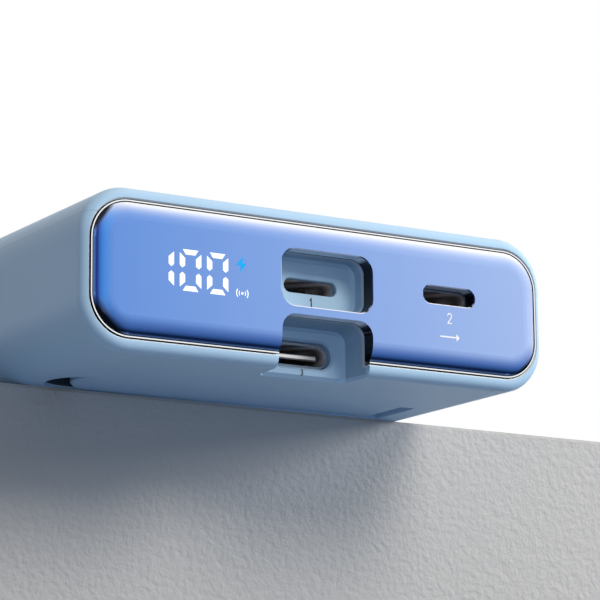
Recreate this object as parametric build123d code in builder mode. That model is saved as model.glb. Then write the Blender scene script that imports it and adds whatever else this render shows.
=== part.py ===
from build123d import *
import math
import os

# Magnetic power bank: a two-shell moulded body with a glossy front plate, a digital
# display, three sockets, a side button and a fold-out stand leg underneath.
# Millimetres. X is the width, Y runs from the front plate (-Y) to the rear, Z is up.
# The origin is at the middle of the underside.

# ---------------------------------------------------------------- body
body_length = 106.0          # front of the fascia to the rear wall
body_width = 68.1
body_height = 20.4
section_radius = 6.3         # the four long edges
front_edge_radius = 1.3
rear_edge_radius = 2.4
wall = 1.5
seam_drop = 3.6              # top face down to the seam between the two shells
lip_clearance = 0.12
lip_wall = 1.0
lip_depth = 1.2

# ---------------------------------------------------------------- fascia
fascia_proud = 0.9           # stands out from the shell's front edge
fascia_thickness = 1.9
rim_side = 1.05              # shell left visible beside the fascia
rim_top = 1.6                # shell left visible above and below it
trim_wall = 0.16
trim_gap = 0.14
trim_proud = 0.05
lip_chamfer = 0.18
pillow_width = 2.3           # rounded border of the fascia's face
pillow_depth = 0.9
adhesive_thickness = 0.15
front_wall = 1.6

# ---------------------------------------------------------------- recesses and sockets
window_width = 13.4
window_radius = 2.0
lower_window_height = 6.82   # above the underside
window_bridge = 1.05         # strip of fascia between the two windows
window_drop = 1.73           # from the seam down to the upper window
window_chamfer = 0.12
upper_recess_depth = 4.1     # behind the fascia's face
lower_recess_depth = 6.4
upper_draft = 8.0            # degrees
lower_draft = 5.0
recess_wall = 1.3
recess_back_wall = 1.6
recess_corner = 0.4
recess_edge_chamfer = 0.5

socket_drop = 0.07           # below the middle of the upper window
socket_width = 7.5
socket_height = 1.75
socket_wall = 0.25
socket_length = 7.0
socket_floor = 2.0
foot_length = 2.0
foot_width = 0.8
foot_spread = 5.2
side_socket_inset = 15.55    # from the body's side to the socket's middle
side_mouth_width = 8.0
side_mouth_height = 2.3
upper_mouth_width = 7.8
upper_mouth_height = 1.8
upper_mouth_depth = 0.8
mouth_chamfer = 0.12
socket_clearance = 0.1
contact_count = 8
contact_pitch = 0.8
contact_width = 0.35
contact_thickness = 0.2
contact_length = 3.2

usb_z = 3.17
usb_width = 8.34
usb_height = 2.56
usb_wall = 0.3
usb_length = 7.3
usb_set_back = 0.25          # shell mouth behind the recess wall
usb_floor = 1.5
usb_mouth_chamfer = 0.3
tongue_width = 6.7
tongue_thickness = 0.7
tongue_set_back = 1.6        # behind the shell's mouth
tongue_chamfer = 0.15

# ---------------------------------------------------------------- display
display_rise = 0.4           # above the middle of the body
digit_height = 5.5
digit_width = 3.2
digit_pitch = 3.83
digit_stroke = 0.88
icon_inset = 5.8             # from the windows to the middle of the icons
icon_pitch = 3.44            # from the icons to the last digit
icon_spread = 3.6            # between the two icons
icon_width = 1.8
icon_height = 1.6
cell_web = 0.45              # white wall between neighbouring light cells
reflector_margin = 1.5
reflector_depth = 2.6
reflector_clearance = 0.1
display_board_thickness = 0.8
led_width = 0.7
led_height = 0.5

# ---------------------------------------------------------------- circuit boards
board_thickness = 1.0
socket_foot = 0.275          # socket shell above the main board
board_side_clearance = 1.35
board_notch_clearance = 0.3
bay_depth = 28.6             # from the fascia's face to the main board's rear edge
boss_radius = 2.1
boss_inset = 1.9             # boss middle from the board's side edge
boss_rear_inset = 2.8        # boss middle from the board's rear edge
boss_set_back = 10.0         # front bosses behind the fascia's face
post_sides = 8               # sides of the small posts, holes, screws and bushes inside
screw_radius = 0.8
screw_length = 4.5
screw_head_radius = 1.5
screw_head_height = 0.9
screw_bite = 0.02            # shank smaller than its pilot hole
lower_screw_length = 3.5
inductor_chamfer = 0.8
board_hole_radius = 0.95
lower_board_width = 28.0
lower_boss_radius = 1.7
lower_boss_inset = 2.2
link_width = 12.0
link_depth = 3.0
link_set_back = 3.7
inductor_size = 6.8
inductor_height = 3.0
inductor_pitch = 9.0
inductor_inset = 13.7        # from the board's side edge to the middle of the pair
inductor_back = 7.6          # from the board's rear edge
chip_size = 5.0
chip_height = 0.9
chip_pitch = 9.0
chip_shift = 4.5             # left of the middle
chip_back = 10.1
capacitor_radius = 2.5
capacitor_height = 5.8
capacitor_pitch = 6.5
capacitor_inset = 10.45
capacitor_back = 8.6
component_count = 2          # of each kind, side by side

# ---------------------------------------------------------------- side button
button_set_back = 15.0       # behind the fascia's face
button_rise = 1.4            # above the main board
button_length = 9.0
button_height = 3.2
button_proud = 0.25
button_travel = 0.4
button_clearance = 0.15
button_edge = 0.2
flange_margin = 0.8
flange_thickness = 0.6
flange_gap = 0.05
switch_length = 6.0
switch_depth = 3.4
switch_height = 2.4
plunger_length = 2.6
plunger_height = 1.2
plunger_reach = 0.9          # stands out of the switch
plunger_depth = 0.8          # held inside it
plunger_clearance = 0.1

# ---------------------------------------------------------------- battery
cell_side_gap = 2.55         # room for the cells to swell, beside them
cell_rear_gap = 1.5
cell_front_gap = 0.6         # behind the cross rib
cell_edge = 1.2              # bevel along both sides
terrace_length = 3.0
terrace_thickness = 0.8
cell_glue = 0.2
cell_foam_thickness = 0.5
coil_foam_thickness = 1.3
foam_margin = 3.0
tab_width = 4.0
tab_thickness = 0.15
tab_lap = 2.3                # on the main board
upper_tab_x = 10.0
lower_tab_x = 16.0

# ---------------------------------------------------------------- charging coil
coil_rear_distance = 43.0    # from the rear of the body to the coil's middle
coil_inner_radius = 10.5
coil_thickness = 1.2
coil_sides = 32
coil_margin = 0.8            # ferrite left visible round the coil
ferrite_thickness = 0.4
ferrite_gap = 0.7            # between the ferrite and the magnets
magnet_outer_radius = 27.5   # to the middle of a side
magnet_width = 4.5
magnet_count = 16
magnet_gap = 0.9
key_magnet_width = 6.0
key_magnet_length = 11.0
key_magnet_gap = 3.0
key_magnet_corner = 0.8
magnet_seat_wall = 0.8
magnet_seat_height = 1.0
magnet_clearance = 0.15

# ---------------------------------------------------------------- stand leg
leg_left_inset = 10.3        # from the body's side to the leg's round end
leg_right_inset = 10.35
leg_set_back = 22.9          # middle of the leg behind the fascia's face
leg_width = 9.5
leg_thickness = 2.6
leg_rise = 0.15              # leg above the resting face
leg_edge_chamfer = 0.3
pocket_clearance = 0.15
finger_gap = 3.65
hinge_clearance = 1.5
hinge_inset = 1.8            # hinge axis from the leg's square end
hinge_z = 1.6
barrel_radius = 1.4
hinge_room = 0.35            # over the turning end of the leg
leg_room = 0.25              # over the closed leg
pin_radius = 0.6
pin_fit = 0.01
bush_clearance = 0.04
bush_wall = 0.45
bush_length = 1.3
bush_fit = 0.01
pocket_roof = 1.2

# ---------------------------------------------------------------- inner ribs and snaps
rib_thickness = 1.0
rib_gap = 0.15
rib_count = 3
rib_inset = 8.0              # outer ribs from either end of the cells
rib_clearance = 0.6          # under the cover's lip
bay_rib_clearance = 1.0      # under the main board
snap_count = 3
snap_inset = 17.2            # outer snaps from either end of the lip
snap_length = 6.0
snap_drop = 3.6
snap_reach = 1.4
snap_height = 1.0
snap_room = 0.15

touch = 0.001                # faces closer than this lie in one plane

# ---------------------------------------------------------------- worked out from these
front_y = -body_length / 2
rear_y = body_length / 2
mid_z = body_height / 2
seam_z = body_height - seam_drop
shell_front_y = front_y + fascia_proud
fascia_back_y = front_y + fascia_thickness
seat_y = fascia_back_y + adhesive_thickness
front_inner_y = seat_y + front_wall
rear_inner_y = rear_y - wall
side_inner_x = body_width / 2 - wall
roof_z = body_height - wall
cavity_corner = (2 - math.sqrt(2)) * (section_radius - wall)

seat_width = body_width - 2 * rim_side
seat_height = body_height - 2 * rim_top
seat_radius = section_radius - rim_side
fascia_inset = trim_wall + 2 * trim_gap
fascia_width = seat_width - 2 * fascia_inset
fascia_height = seat_height - 2 * fascia_inset
fascia_radius = seat_radius - fascia_inset

window_bottom = lower_window_height + window_bridge
window_top = seam_z - window_drop
window_height = window_top - window_bottom
upper_window_z = (window_bottom + window_top) / 2
upper_wall_y = front_y + upper_recess_depth
lower_wall_y = front_y + lower_recess_depth
block_half_width = window_width / 2 + recess_wall
block_top = window_top + recess_wall
block_rear_y = lower_wall_y + recess_back_wall

socket_z = upper_window_z - socket_drop
side_socket_x = body_width / 2 - side_socket_inset
socket_outer_width = socket_width + 2 * socket_wall
socket_outer_height = socket_height + 2 * socket_wall
passage_width = socket_outer_width + 2 * socket_clearance
passage_height = socket_outer_height + 2 * socket_clearance
upper_socket_y = upper_wall_y + upper_mouth_depth
board_top = socket_z - socket_outer_height / 2 - socket_foot
board_bottom = board_top - board_thickness
usb_outer_width = usb_width + 2 * usb_wall
usb_outer_height = usb_height + 2 * usb_wall
usb_mouth_y = lower_wall_y + usb_set_back
lower_board_bottom = usb_z + usb_outer_height / 2
lower_board_top = lower_board_bottom + board_thickness

display_z = mid_z + display_rise
icon_x = -window_width / 2 - icon_inset
last_digit_x = icon_x - icon_pitch
first_digit_x = last_digit_x - 2 * digit_pitch
digit_xs = (last_digit_x - digit_pitch, last_digit_x)
column = (digit_width - digit_stroke) / 2
bar = (digit_height - digit_stroke) / 2
reflector_left = first_digit_x + column - digit_stroke / 2 - reflector_margin
reflector_right = icon_x + icon_width / 2 + reflector_margin / 2
reflector_x = (reflector_left + reflector_right) / 2
reflector_width = reflector_right - reflector_left
reflector_height = digit_height + 2 * reflector_margin
display_board_y = seat_y + reflector_depth
board_front_y = display_board_y + display_board_thickness
board_rear_y = front_y + bay_depth
board_half_width = side_inner_x - board_side_clearance
board_notch_y = block_rear_y + board_notch_clearance
boss_x = board_half_width - boss_inset
boss_front_y = front_y + boss_set_back
boss_rear_y = board_rear_y - boss_rear_inset
boss_places = [(side * boss_x, y) for side in (-1, 1) for y in (boss_front_y, boss_rear_y)]
lower_boss_x = lower_board_width / 2 - lower_boss_inset
inductor_place = (board_half_width - inductor_inset, board_rear_y - inductor_back)
chip_place = (-chip_shift, board_rear_y - chip_back)
capacitor_place = (capacitor_inset - board_half_width, board_rear_y - capacitor_back)

leg_left = leg_left_inset - body_width / 2
leg_right = body_width / 2 - leg_right_inset
leg_y = front_y + leg_set_back
pocket_width = leg_width + 2 * pocket_clearance
pocket_left = leg_left - finger_gap
pocket_right = leg_right + hinge_clearance
pocket_front_y = leg_y - pocket_width / 2
pocket_rear_y = leg_y + pocket_width / 2
pocket_top = leg_rise + leg_thickness + leg_room
hinge_x = leg_right - hinge_inset
leg_corner = math.hypot(hinge_inset, leg_rise + leg_thickness - hinge_z)
hinge_swing = math.hypot(hinge_inset, hinge_z - leg_rise)
hinge_pocket_top = hinge_z + leg_corner + hinge_room
hinge_pocket_left = hinge_x - hinge_swing - hinge_room
bush_inner_radius = pin_radius + bush_clearance
bush_outer_radius = bush_inner_radius + bush_wall
lower_board_front_y = block_rear_y + board_notch_clearance
lower_board_rear_y = pocket_front_y - wall - board_notch_clearance
lower_board_y = (lower_board_front_y + lower_board_rear_y) / 2
lower_board_depth = lower_board_rear_y - lower_board_front_y
lower_boss_places = [(side * lower_boss_x, lower_board_y) for side in (-1, 1)]

button_y = front_y + button_set_back
button_z = board_top + button_rise
flange_x = side_inner_x - flange_gap
switch_front_x = flange_x - flange_thickness - plunger_reach

coil_y = rear_y - coil_rear_distance
coil_bottom = roof_z - coil_thickness
stack_bottom = coil_bottom - ferrite_thickness
magnet_inner_radius = magnet_outer_radius - magnet_width
magnet_half_angle = 180 / magnet_count
ferrite_radius = magnet_inner_radius - ferrite_gap
coil_outer_radius = ferrite_radius - coil_margin
key_y = coil_y - magnet_outer_radius - key_magnet_gap - key_magnet_length / 2

bay_rib_y = board_rear_y + board_notch_clearance + rib_thickness / 2
bay_rib_top = board_bottom - bay_rib_clearance
cell_front_y = bay_rib_y + rib_thickness / 2 + cell_front_gap
cell_length = rear_inner_y - cell_rear_gap - cell_front_y
cell_width = 2 * (side_inner_x - cell_side_gap)
cell_y = cell_front_y + cell_length / 2
lower_cell_z = wall + cell_glue
cell_room = stack_bottom - coil_foam_thickness - cell_foam_thickness - lower_cell_z
cell_thickness = cell_room / 2
upper_cell_z = lower_cell_z + cell_thickness + cell_foam_thickness
cell_top = upper_cell_z + cell_thickness
tab_reach = cell_front_y - board_rear_y + tab_lap
pad_y = cell_y + terrace_length / 2
pad_width = cell_width - 2 * foam_margin
pad_length = cell_length - terrace_length - 2 * foam_margin

rib_reach = body_width / 2 - cell_width / 2 - rib_gap
rib_x = body_width / 2 - rib_reach / 2
rib_top = seam_z - lip_depth - rib_clearance
rib_pitch = (cell_length - 2 * rib_inset) / (rib_count - 1)
lip_x = side_inner_x - max(seam_z - roof_z + cavity_corner, 0) - lip_clearance
lip_front_y = boss_front_y
lip_rear_y = rear_inner_y - lip_clearance
lip_y = (lip_front_y + lip_rear_y) / 2
snap_bottom = seam_z - snap_drop
snap_pitch = (lip_rear_y - lip_front_y - 2 * snap_inset) / (snap_count - 1)


def front_plane(y):
    """Plane across the body at y, seen from the front, with X right and Z up."""
    return Plane.XZ.offset(-y)


def magnet_outline(inner_distance, mode=Mode.ADD):
    """Polygon with one side for each magnet, its sides at inner_distance from the middle."""
    return RegularPolygon(
        inner_distance, magnet_count, major_radius=False, rotation=magnet_half_angle, mode=mode
    )


def faces_at(piece, y):
    """The piece's faces that lie across the body at y, the largest first."""
    return piece.faces().filter_by_position(Axis.Y, y - touch, y + touch).sort_by(SortBy.AREA, reverse=True)


def keep(piece, name):
    """Label a finished piece and write it to its own STEP file."""
    piece.part.label = name
    export_step(piece.part, f"parts/{name}.step")


os.makedirs("parts", exist_ok=True)

# ================================================================ form of both shells
with BuildPart() as body_form:
    with BuildSketch(front_plane(shell_front_y)):
        with Locations((0, mid_z)):
            RectangleRounded(body_width, body_height, section_radius)
    extrude(amount=shell_front_y - rear_y)
    fillet(body_form.faces().sort_by(Axis.Y)[0].edges(), front_edge_radius)
    fillet(body_form.faces().sort_by(Axis.Y)[-1].edges(), rear_edge_radius)

with BuildPart() as body_shell:
    add(body_form.part)
    # Hollow inside, with bevelled corners that come no nearer to the skin than the wall.
    with BuildSketch(front_plane(front_inner_y)) as cavity_outline:
        with Locations((0, mid_z)):
            Rectangle(body_width - 2 * wall, body_height - 2 * wall)
        chamfer(cavity_outline.vertices(), cavity_corner)
    extrude(amount=front_inner_y - rear_inner_y, mode=Mode.SUBTRACT)
    # Seat of the fascia, with a small bright chamfer round its lip.
    with BuildSketch(front_plane(seat_y)):
        with Locations((0, mid_z)):
            RectangleRounded(seat_width, seat_height, seat_radius)
    extrude(amount=fascia_thickness, mode=Mode.SUBTRACT)
    with BuildSketch(front_plane(shell_front_y + lip_chamfer)):
        with Locations((0, mid_z)):
            RectangleRounded(seat_width, seat_height, seat_radius)
    extrude(amount=2 * lip_chamfer, taper=-45, mode=Mode.SUBTRACT)

# ================================================================ main housing
with BuildPart() as housing_inside:
    # Block that carries the two recesses and their sockets.
    with BuildSketch(front_plane(seat_y)):
        with Locations((0, block_top / 2)):
            Rectangle(2 * block_half_width, block_top)
    extrude(amount=seat_y - block_rear_y)
    # Roof and walls of the stand's pocket, higher over the hinge.
    with BuildSketch(Plane.XY):
        with Locations(((pocket_left + pocket_right) / 2, leg_y)):
            Rectangle(pocket_right - pocket_left + 2 * wall, pocket_width + 2 * wall)
    extrude(amount=pocket_top + pocket_roof)
    with BuildSketch(Plane.XY):
        with Locations(((hinge_pocket_left + pocket_right) / 2, leg_y)):
            Rectangle(pocket_right - hinge_pocket_left + 2 * wall, pocket_width + 2 * wall)
    extrude(amount=hinge_pocket_top + pocket_roof)
    # Bosses of both circuit boards.
    with BuildSketch(Plane.XY):
        with Locations(*boss_places):
            RegularPolygon(boss_radius, post_sides)
    extrude(amount=board_bottom)
    with BuildSketch(Plane.XY):
        with Locations(*lower_boss_places):
            RegularPolygon(lower_boss_radius, post_sides)
    extrude(amount=lower_board_bottom)
    # Cross rib in front of the cells and locating ribs beside them.
    with BuildSketch(Plane.XY):
        with Locations((0, bay_rib_y)):
            Rectangle(body_width, rib_thickness)
    extrude(amount=bay_rib_top)
    with BuildSketch(Plane.XY):
        with Locations((0, cell_y)):
            with GridLocations(2 * rib_x, rib_pitch, 2, rib_count):
                Rectangle(rib_reach, rib_thickness)
    extrude(amount=rib_top)
    add(body_form.part, mode=Mode.INTERSECT)

with BuildPart() as main_housing:
    add(body_shell.part)
    add(housing_inside.part)
    split(bisect_by=Plane.XY.offset(seam_z), keep=Keep.BOTTOM)
    # Upper recess: a drafted pocket behind the upper window.
    with BuildSketch(front_plane(seat_y)):
        with Locations((0, upper_window_z)):
            RectangleRounded(window_width, window_height, window_radius)
    extrude(amount=upper_wall_y - seat_y, dir=(0, 1, 0), taper=upper_draft, mode=Mode.SUBTRACT)
    chamfer(faces_at(main_housing, upper_wall_y)[0].outer_wire().edges(), recess_corner)
    # Lower recess: deeper, and open through the underside.
    with BuildSketch(front_plane(seat_y)) as lower_mouth:
        with Locations((0, 0)):
            RectangleRounded(window_width, 2 * lower_window_height, window_radius)
    extrude(amount=lower_wall_y - seat_y, dir=(0, 1, 0), taper=lower_draft, mode=Mode.SUBTRACT)
    extrude(lower_mouth.sketch, amount=fascia_thickness, mode=Mode.SUBTRACT)
    lower_wall_edges = faces_at(main_housing, lower_wall_y)[0].outer_wire().edges()
    chamfer(lower_wall_edges.filter_by(lambda edge: edge.center().Z > touch), recess_corner)
    lower_wall_edges = faces_at(main_housing, lower_wall_y)[0].outer_wire().edges()
    chamfer(lower_wall_edges.sort_by(Axis.Z)[0], recess_edge_chamfer)
    # Socket passages.
    with BuildSketch(front_plane(upper_wall_y)):
        with Locations((0, socket_z)):
            SlotOverall(upper_mouth_width, upper_mouth_height)
    extrude(amount=-upper_mouth_depth, mode=Mode.SUBTRACT)
    chamfer(faces_at(main_housing, upper_wall_y)[0].inner_wires().edges(), mouth_chamfer)
    with BuildSketch(front_plane(upper_socket_y)):
        with Locations((0, socket_z)):
            Rectangle(passage_width, passage_height)
    extrude(amount=upper_socket_y - block_rear_y, mode=Mode.SUBTRACT)
    with BuildSketch(front_plane(lower_wall_y)):
        with Locations((0, usb_z)):
            SlotOverall(usb_outer_width + 2 * socket_clearance, usb_outer_height + 2 * socket_clearance)
    extrude(amount=lower_wall_y - block_rear_y, mode=Mode.SUBTRACT)
    chamfer(faces_at(main_housing, lower_wall_y)[0].inner_wires().edges(), usb_mouth_chamfer)
    with BuildSketch(front_plane(seat_y)):
        with Locations((side_socket_x, socket_z)):
            Rectangle(passage_width, passage_height)
    extrude(amount=-front_wall, mode=Mode.SUBTRACT)
    # Display window.
    with BuildSketch(front_plane(seat_y)):
        with Locations((reflector_x, display_z)):
            Rectangle(reflector_width + 2 * reflector_clearance, reflector_height + 2 * reflector_clearance)
    extrude(amount=-front_wall, mode=Mode.SUBTRACT)
    # Pocket of the stand, with a round end for the finger and more depth at the hinge.
    with BuildSketch(Plane.XY):
        with Locations((pocket_left + pocket_width / 2, leg_y)):
            Circle(pocket_width / 2)
        straight_left = pocket_left + pocket_width / 2
        with Locations(((straight_left + pocket_right) / 2, leg_y)):
            Rectangle(pocket_right - straight_left, pocket_width)
    extrude(amount=pocket_top, mode=Mode.SUBTRACT)
    with BuildSketch(Plane.XY):
        with Locations(((hinge_pocket_left + pocket_right) / 2, leg_y)):
            Rectangle(pocket_right - hinge_pocket_left, pocket_width)
    extrude(amount=hinge_pocket_top, mode=Mode.SUBTRACT)
    # Bush holes through both sides of the pocket, eight-sided so that the bushes can't turn.
    with BuildSketch(front_plane(leg_y)):
        with Locations((hinge_x, hinge_z)):
            RegularPolygon(bush_outer_radius + bush_fit, post_sides, major_radius=False)
    extrude(amount=pocket_width / 2 + wall, both=True, mode=Mode.SUBTRACT)
    # Pilot holes in the bosses.
    with BuildSketch(Plane.XY.offset(board_bottom)):
        with Locations(*boss_places):
            RegularPolygon(screw_radius + screw_bite, post_sides)
    extrude(amount=board_thickness - screw_length, mode=Mode.SUBTRACT)
    with BuildSketch(Plane.XY.offset(lower_board_bottom)):
        with Locations(*lower_boss_places):
            RegularPolygon(screw_radius + screw_bite, post_sides)
    extrude(amount=board_thickness - lower_screw_length, mode=Mode.SUBTRACT)
    # Opening for the side button.
    with BuildSketch(Plane.YZ.offset(side_inner_x)):
        with Locations((button_y, button_z)):
            SlotOverall(button_length + 2 * button_clearance, button_height + 2 * button_clearance)
    extrude(amount=wall, mode=Mode.SUBTRACT)
    # Grooves that the cover's snap hooks click into.
    with BuildSketch(Plane.XY.offset(snap_bottom - snap_room)):
        with Locations((0, lip_y)):
            with GridLocations(2 * lip_x, snap_pitch, 2, snap_count):
                Rectangle(2 * (snap_reach + snap_room), snap_length + 2 * snap_room)
    extrude(amount=snap_height + 2 * snap_room, mode=Mode.SUBTRACT)

keep(main_housing, "main_housing")

# ================================================================ top cover
with BuildPart() as top_cover:
    add(body_shell.part)
    split(bisect_by=Plane.XY.offset(seam_z), keep=Keep.TOP)
    # Locating lip along both sides and the rear.
    with BuildSketch(Plane.XY.offset(seam_z - lip_depth)):
        with Locations((0, lip_y)):
            Rectangle(2 * lip_x, lip_rear_y - lip_front_y)
        with Locations((0, lip_y - lip_wall)):
            Rectangle(2 * (lip_x - lip_wall), lip_rear_y - lip_front_y, mode=Mode.SUBTRACT)
    extrude(amount=roof_z - seam_z + lip_depth)
    # Snap hooks: thin tongues with a wedge-shaped nose.
    for snap_place in GridLocations(0, snap_pitch, 1, snap_count):
        with BuildSketch(front_plane(lip_y + snap_place.position.Y)):
            with BuildLine():
                Polyline(
                    (lip_x - lip_wall, snap_bottom),
                    (lip_x, snap_bottom),
                    (lip_x + snap_reach, snap_bottom + snap_height / 2),
                    (lip_x + snap_reach, snap_bottom + snap_height),
                    (lip_x, snap_bottom + snap_height),
                    (lip_x, seam_z - lip_depth),
                    (lip_x - lip_wall, seam_z - lip_depth),
                    close=True,
                )
            make_face()
            mirror(about=Plane.YZ)
        extrude(amount=snap_length / 2, both=True)
    # Seat that centres the magnets: a low wall round them, bored clear down to the lip.
    with BuildSketch(Plane.XY.offset(roof_z)):
        with Locations((0, coil_y)):
            magnet_outline(magnet_outer_radius + magnet_clearance + magnet_seat_wall)
    extrude(amount=-magnet_seat_height)
    with BuildSketch(Plane.XY.offset(roof_z)):
        with Locations((0, coil_y)):
            magnet_outline(magnet_outer_radius + magnet_clearance)
    extrude(amount=seam_z - lip_depth - roof_z, mode=Mode.SUBTRACT)

keep(top_cover, "top_cover")

# ================================================================ fascia and its trim
with BuildPart() as fascia:
    with BuildSketch(front_plane(fascia_back_y)) as fascia_outline:
        with Locations((0, mid_z)):
            RectangleRounded(fascia_width, fascia_height, fascia_radius)
    extrude(amount=fascia_thickness)
    # Rounded border: an arc that leaves the flat face and drops to the edge.
    border_path = fascia.faces().sort_by(Axis.Y)[0].outer_wire()
    with BuildSketch(Plane.XY.offset(mid_z)) as border_cut:
        with BuildLine():
            TangentArc(
                (fascia_width / 2 - pillow_width, front_y),
                (fascia_width / 2, front_y + pillow_depth),
                tangent=(1, 0),
            )
            Polyline(
                (fascia_width / 2, front_y + pillow_depth),
                (fascia_width / 2 + pillow_depth, front_y + pillow_depth),
                (fascia_width / 2 + pillow_depth, front_y - pillow_depth),
                (fascia_width / 2 - pillow_width, front_y - pillow_depth),
                (fascia_width / 2 - pillow_width, front_y),
            )
        make_face()
    sweep(path=border_path, mode=Mode.SUBTRACT)
    # Windows over the two recesses; the lower one runs out through the edge.
    with BuildSketch(front_plane(fascia_back_y)):
        with Locations((0, upper_window_z)):
            RectangleRounded(window_width, window_height, window_radius)
        with Locations((0, 0)):
            RectangleRounded(window_width, 2 * lower_window_height, window_radius)
        with Locations((side_socket_x, socket_z)):
            SlotOverall(side_mouth_width, side_mouth_height)
    extrude(amount=fascia_thickness, mode=Mode.SUBTRACT)
    mouth_edges = fascia.faces().sort_by(Axis.Y)[0].inner_wires().edges()
    chamfer(mouth_edges, window_chamfer)

keep(fascia, "fascia")

with BuildPart() as fascia_trim_ring:
    with BuildSketch(front_plane(seat_y)):
        with Locations((0, mid_z)):
            RectangleRounded(seat_width - 2 * trim_gap, seat_height - 2 * trim_gap, seat_radius - trim_gap)
            RectangleRounded(
                fascia_width + 2 * trim_gap,
                fascia_height + 2 * trim_gap,
                fascia_radius + trim_gap,
                mode=Mode.SUBTRACT,
            )
        with Locations((0, 0)):
            Rectangle(window_width, 2 * lower_window_height, mode=Mode.SUBTRACT)
    extrude(amount=seat_y - shell_front_y + trim_proud)

keep(fascia_trim_ring, "fascia_trim_ring")

with BuildPart() as fascia_adhesive:
    with BuildSketch(front_plane(seat_y)) as adhesive_outline:
        with Locations((0, mid_z)):
            Rectangle(fascia_width, fascia_height)
        chamfer(adhesive_outline.vertices(), fascia_radius)
        with Locations((0, upper_window_z)):
            Rectangle(window_width, window_height, mode=Mode.SUBTRACT)
        with Locations((0, 0)):
            Rectangle(window_width, 2 * lower_window_height, mode=Mode.SUBTRACT)
        with Locations((side_socket_x, socket_z)):
            Rectangle(socket_outer_width, socket_outer_height, mode=Mode.SUBTRACT)
        with Locations((reflector_x, display_z)):
            Rectangle(reflector_width, reflector_height, mode=Mode.SUBTRACT)
    extrude(amount=adhesive_thickness)

keep(fascia_adhesive, "fascia_adhesive")

# ================================================================ display
# Light cells: two uprights for the leading 1, seven bars for each full digit, two icons.
upright_cell = (digit_stroke, bar - 2 * cell_web)
level_cell = (2 * column - digit_stroke, digit_stroke)
upright_places = [(first_digit_x + column, display_z + side * bar / 2) for side in (-1, 1)]
level_places = []
for digit_x in digit_xs:
    for across in (-1, 1):
        upright_places += [(digit_x + across * column, display_z + side * bar / 2) for side in (-1, 1)]
    level_places += [(digit_x, display_z + level * bar) for level in (-1, 0, 1)]
icon_places = [(icon_x, display_z + side * icon_spread / 2) for side in (-1, 1)]
led_places = upright_places + level_places + icon_places

with BuildPart() as display_diffuser:
    with BuildSketch(front_plane(seat_y)):
        with Locations((reflector_x, display_z)):
            Rectangle(reflector_width, reflector_height)
    extrude(amount=adhesive_thickness)

keep(display_diffuser, "display_diffuser")

with BuildPart() as display_reflector:
    with BuildSketch(front_plane(seat_y)):
        with Locations((reflector_x, display_z)):
            Rectangle(reflector_width, reflector_height)
        with Locations(*upright_places):
            Rectangle(*upright_cell, mode=Mode.SUBTRACT)
        with Locations(*level_places):
            Rectangle(*level_cell, mode=Mode.SUBTRACT)
        with Locations(*icon_places):
            Rectangle(icon_width, icon_height, mode=Mode.SUBTRACT)
    extrude(amount=-reflector_depth)

keep(display_reflector, "display_reflector")

with BuildPart() as display_board:
    with BuildSketch(front_plane(display_board_y)):
        with Locations((reflector_x, display_z)):
            Rectangle(reflector_width, reflector_height)
    extrude(amount=-display_board_thickness)

keep(display_board, "display_board")

with BuildPart() as display_leds:
    with BuildSketch(front_plane(display_board_y)):
        with Locations(*led_places):
            Rectangle(led_width, led_width)
    extrude(amount=led_height)

keep(display_leds, "display_leds")

# ================================================================ circuit boards
with BuildPart() as main_board:
    with BuildSketch(Plane.XY.offset(board_bottom)):
        with Locations((0, (board_front_y + board_rear_y) / 2)):
            Rectangle(2 * board_half_width, board_rear_y - board_front_y)
        with Locations((0, board_notch_y)):
            notch_depth = 2 * (board_notch_y - board_front_y)
            Rectangle(2 * (block_half_width + board_notch_clearance), notch_depth, mode=Mode.SUBTRACT)
        with Locations(*boss_places):
            RegularPolygon(board_hole_radius, post_sides, mode=Mode.SUBTRACT)
    extrude(amount=board_thickness)

keep(main_board, "main_board")

with BuildPart() as lower_board:
    with BuildSketch(Plane.XY.offset(lower_board_bottom)):
        with Locations((0, lower_board_y)):
            Rectangle(lower_board_width, lower_board_depth)
        with Locations(*lower_boss_places):
            RegularPolygon(board_hole_radius, post_sides, mode=Mode.SUBTRACT)
    extrude(amount=board_thickness)

keep(lower_board, "lower_board")

with BuildPart() as board_link:
    with BuildSketch(Plane.XY.offset(lower_board_top)):
        with Locations((0, lower_board_front_y + link_set_back)):
            Rectangle(link_width, link_depth)
    extrude(amount=board_bottom - lower_board_top)

keep(board_link, "board_link")

with BuildPart() as board_screws:
    with BuildSketch(Plane.XY.offset(board_top)):
        with Locations(*boss_places):
            RegularPolygon(screw_radius, post_sides)
    extrude(amount=-screw_length)
    with BuildSketch(Plane.XY.offset(board_top)):
        with Locations(*boss_places):
            RegularPolygon(screw_head_radius, post_sides)
    extrude(amount=screw_head_height)
    with BuildSketch(Plane.XY.offset(lower_board_top)):
        with Locations(*lower_boss_places):
            RegularPolygon(screw_radius, post_sides)
    extrude(amount=-lower_screw_length)
    with BuildSketch(Plane.XY.offset(lower_board_top)):
        with Locations(*lower_boss_places):
            RegularPolygon(screw_head_radius, post_sides)
    extrude(amount=screw_head_height)

keep(board_screws, "board_screws")

with BuildPart() as power_inductors:
    with BuildSketch(Plane.XY.offset(board_top)):
        with Locations(inductor_place):
            with GridLocations(inductor_pitch, 0, component_count, 1):
                Rectangle(inductor_size, inductor_size)
    extrude(amount=inductor_height)
    chamfer(power_inductors.edges().filter_by(Axis.Z), inductor_chamfer)

keep(power_inductors, "power_inductors")

with BuildPart() as controller_chips:
    with BuildSketch(Plane.XY.offset(board_top)):
        with Locations(chip_place):
            with GridLocations(chip_pitch, 0, component_count, 1):
                Rectangle(chip_size, chip_size)
    extrude(amount=chip_height)

keep(controller_chips, "controller_chips")

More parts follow.
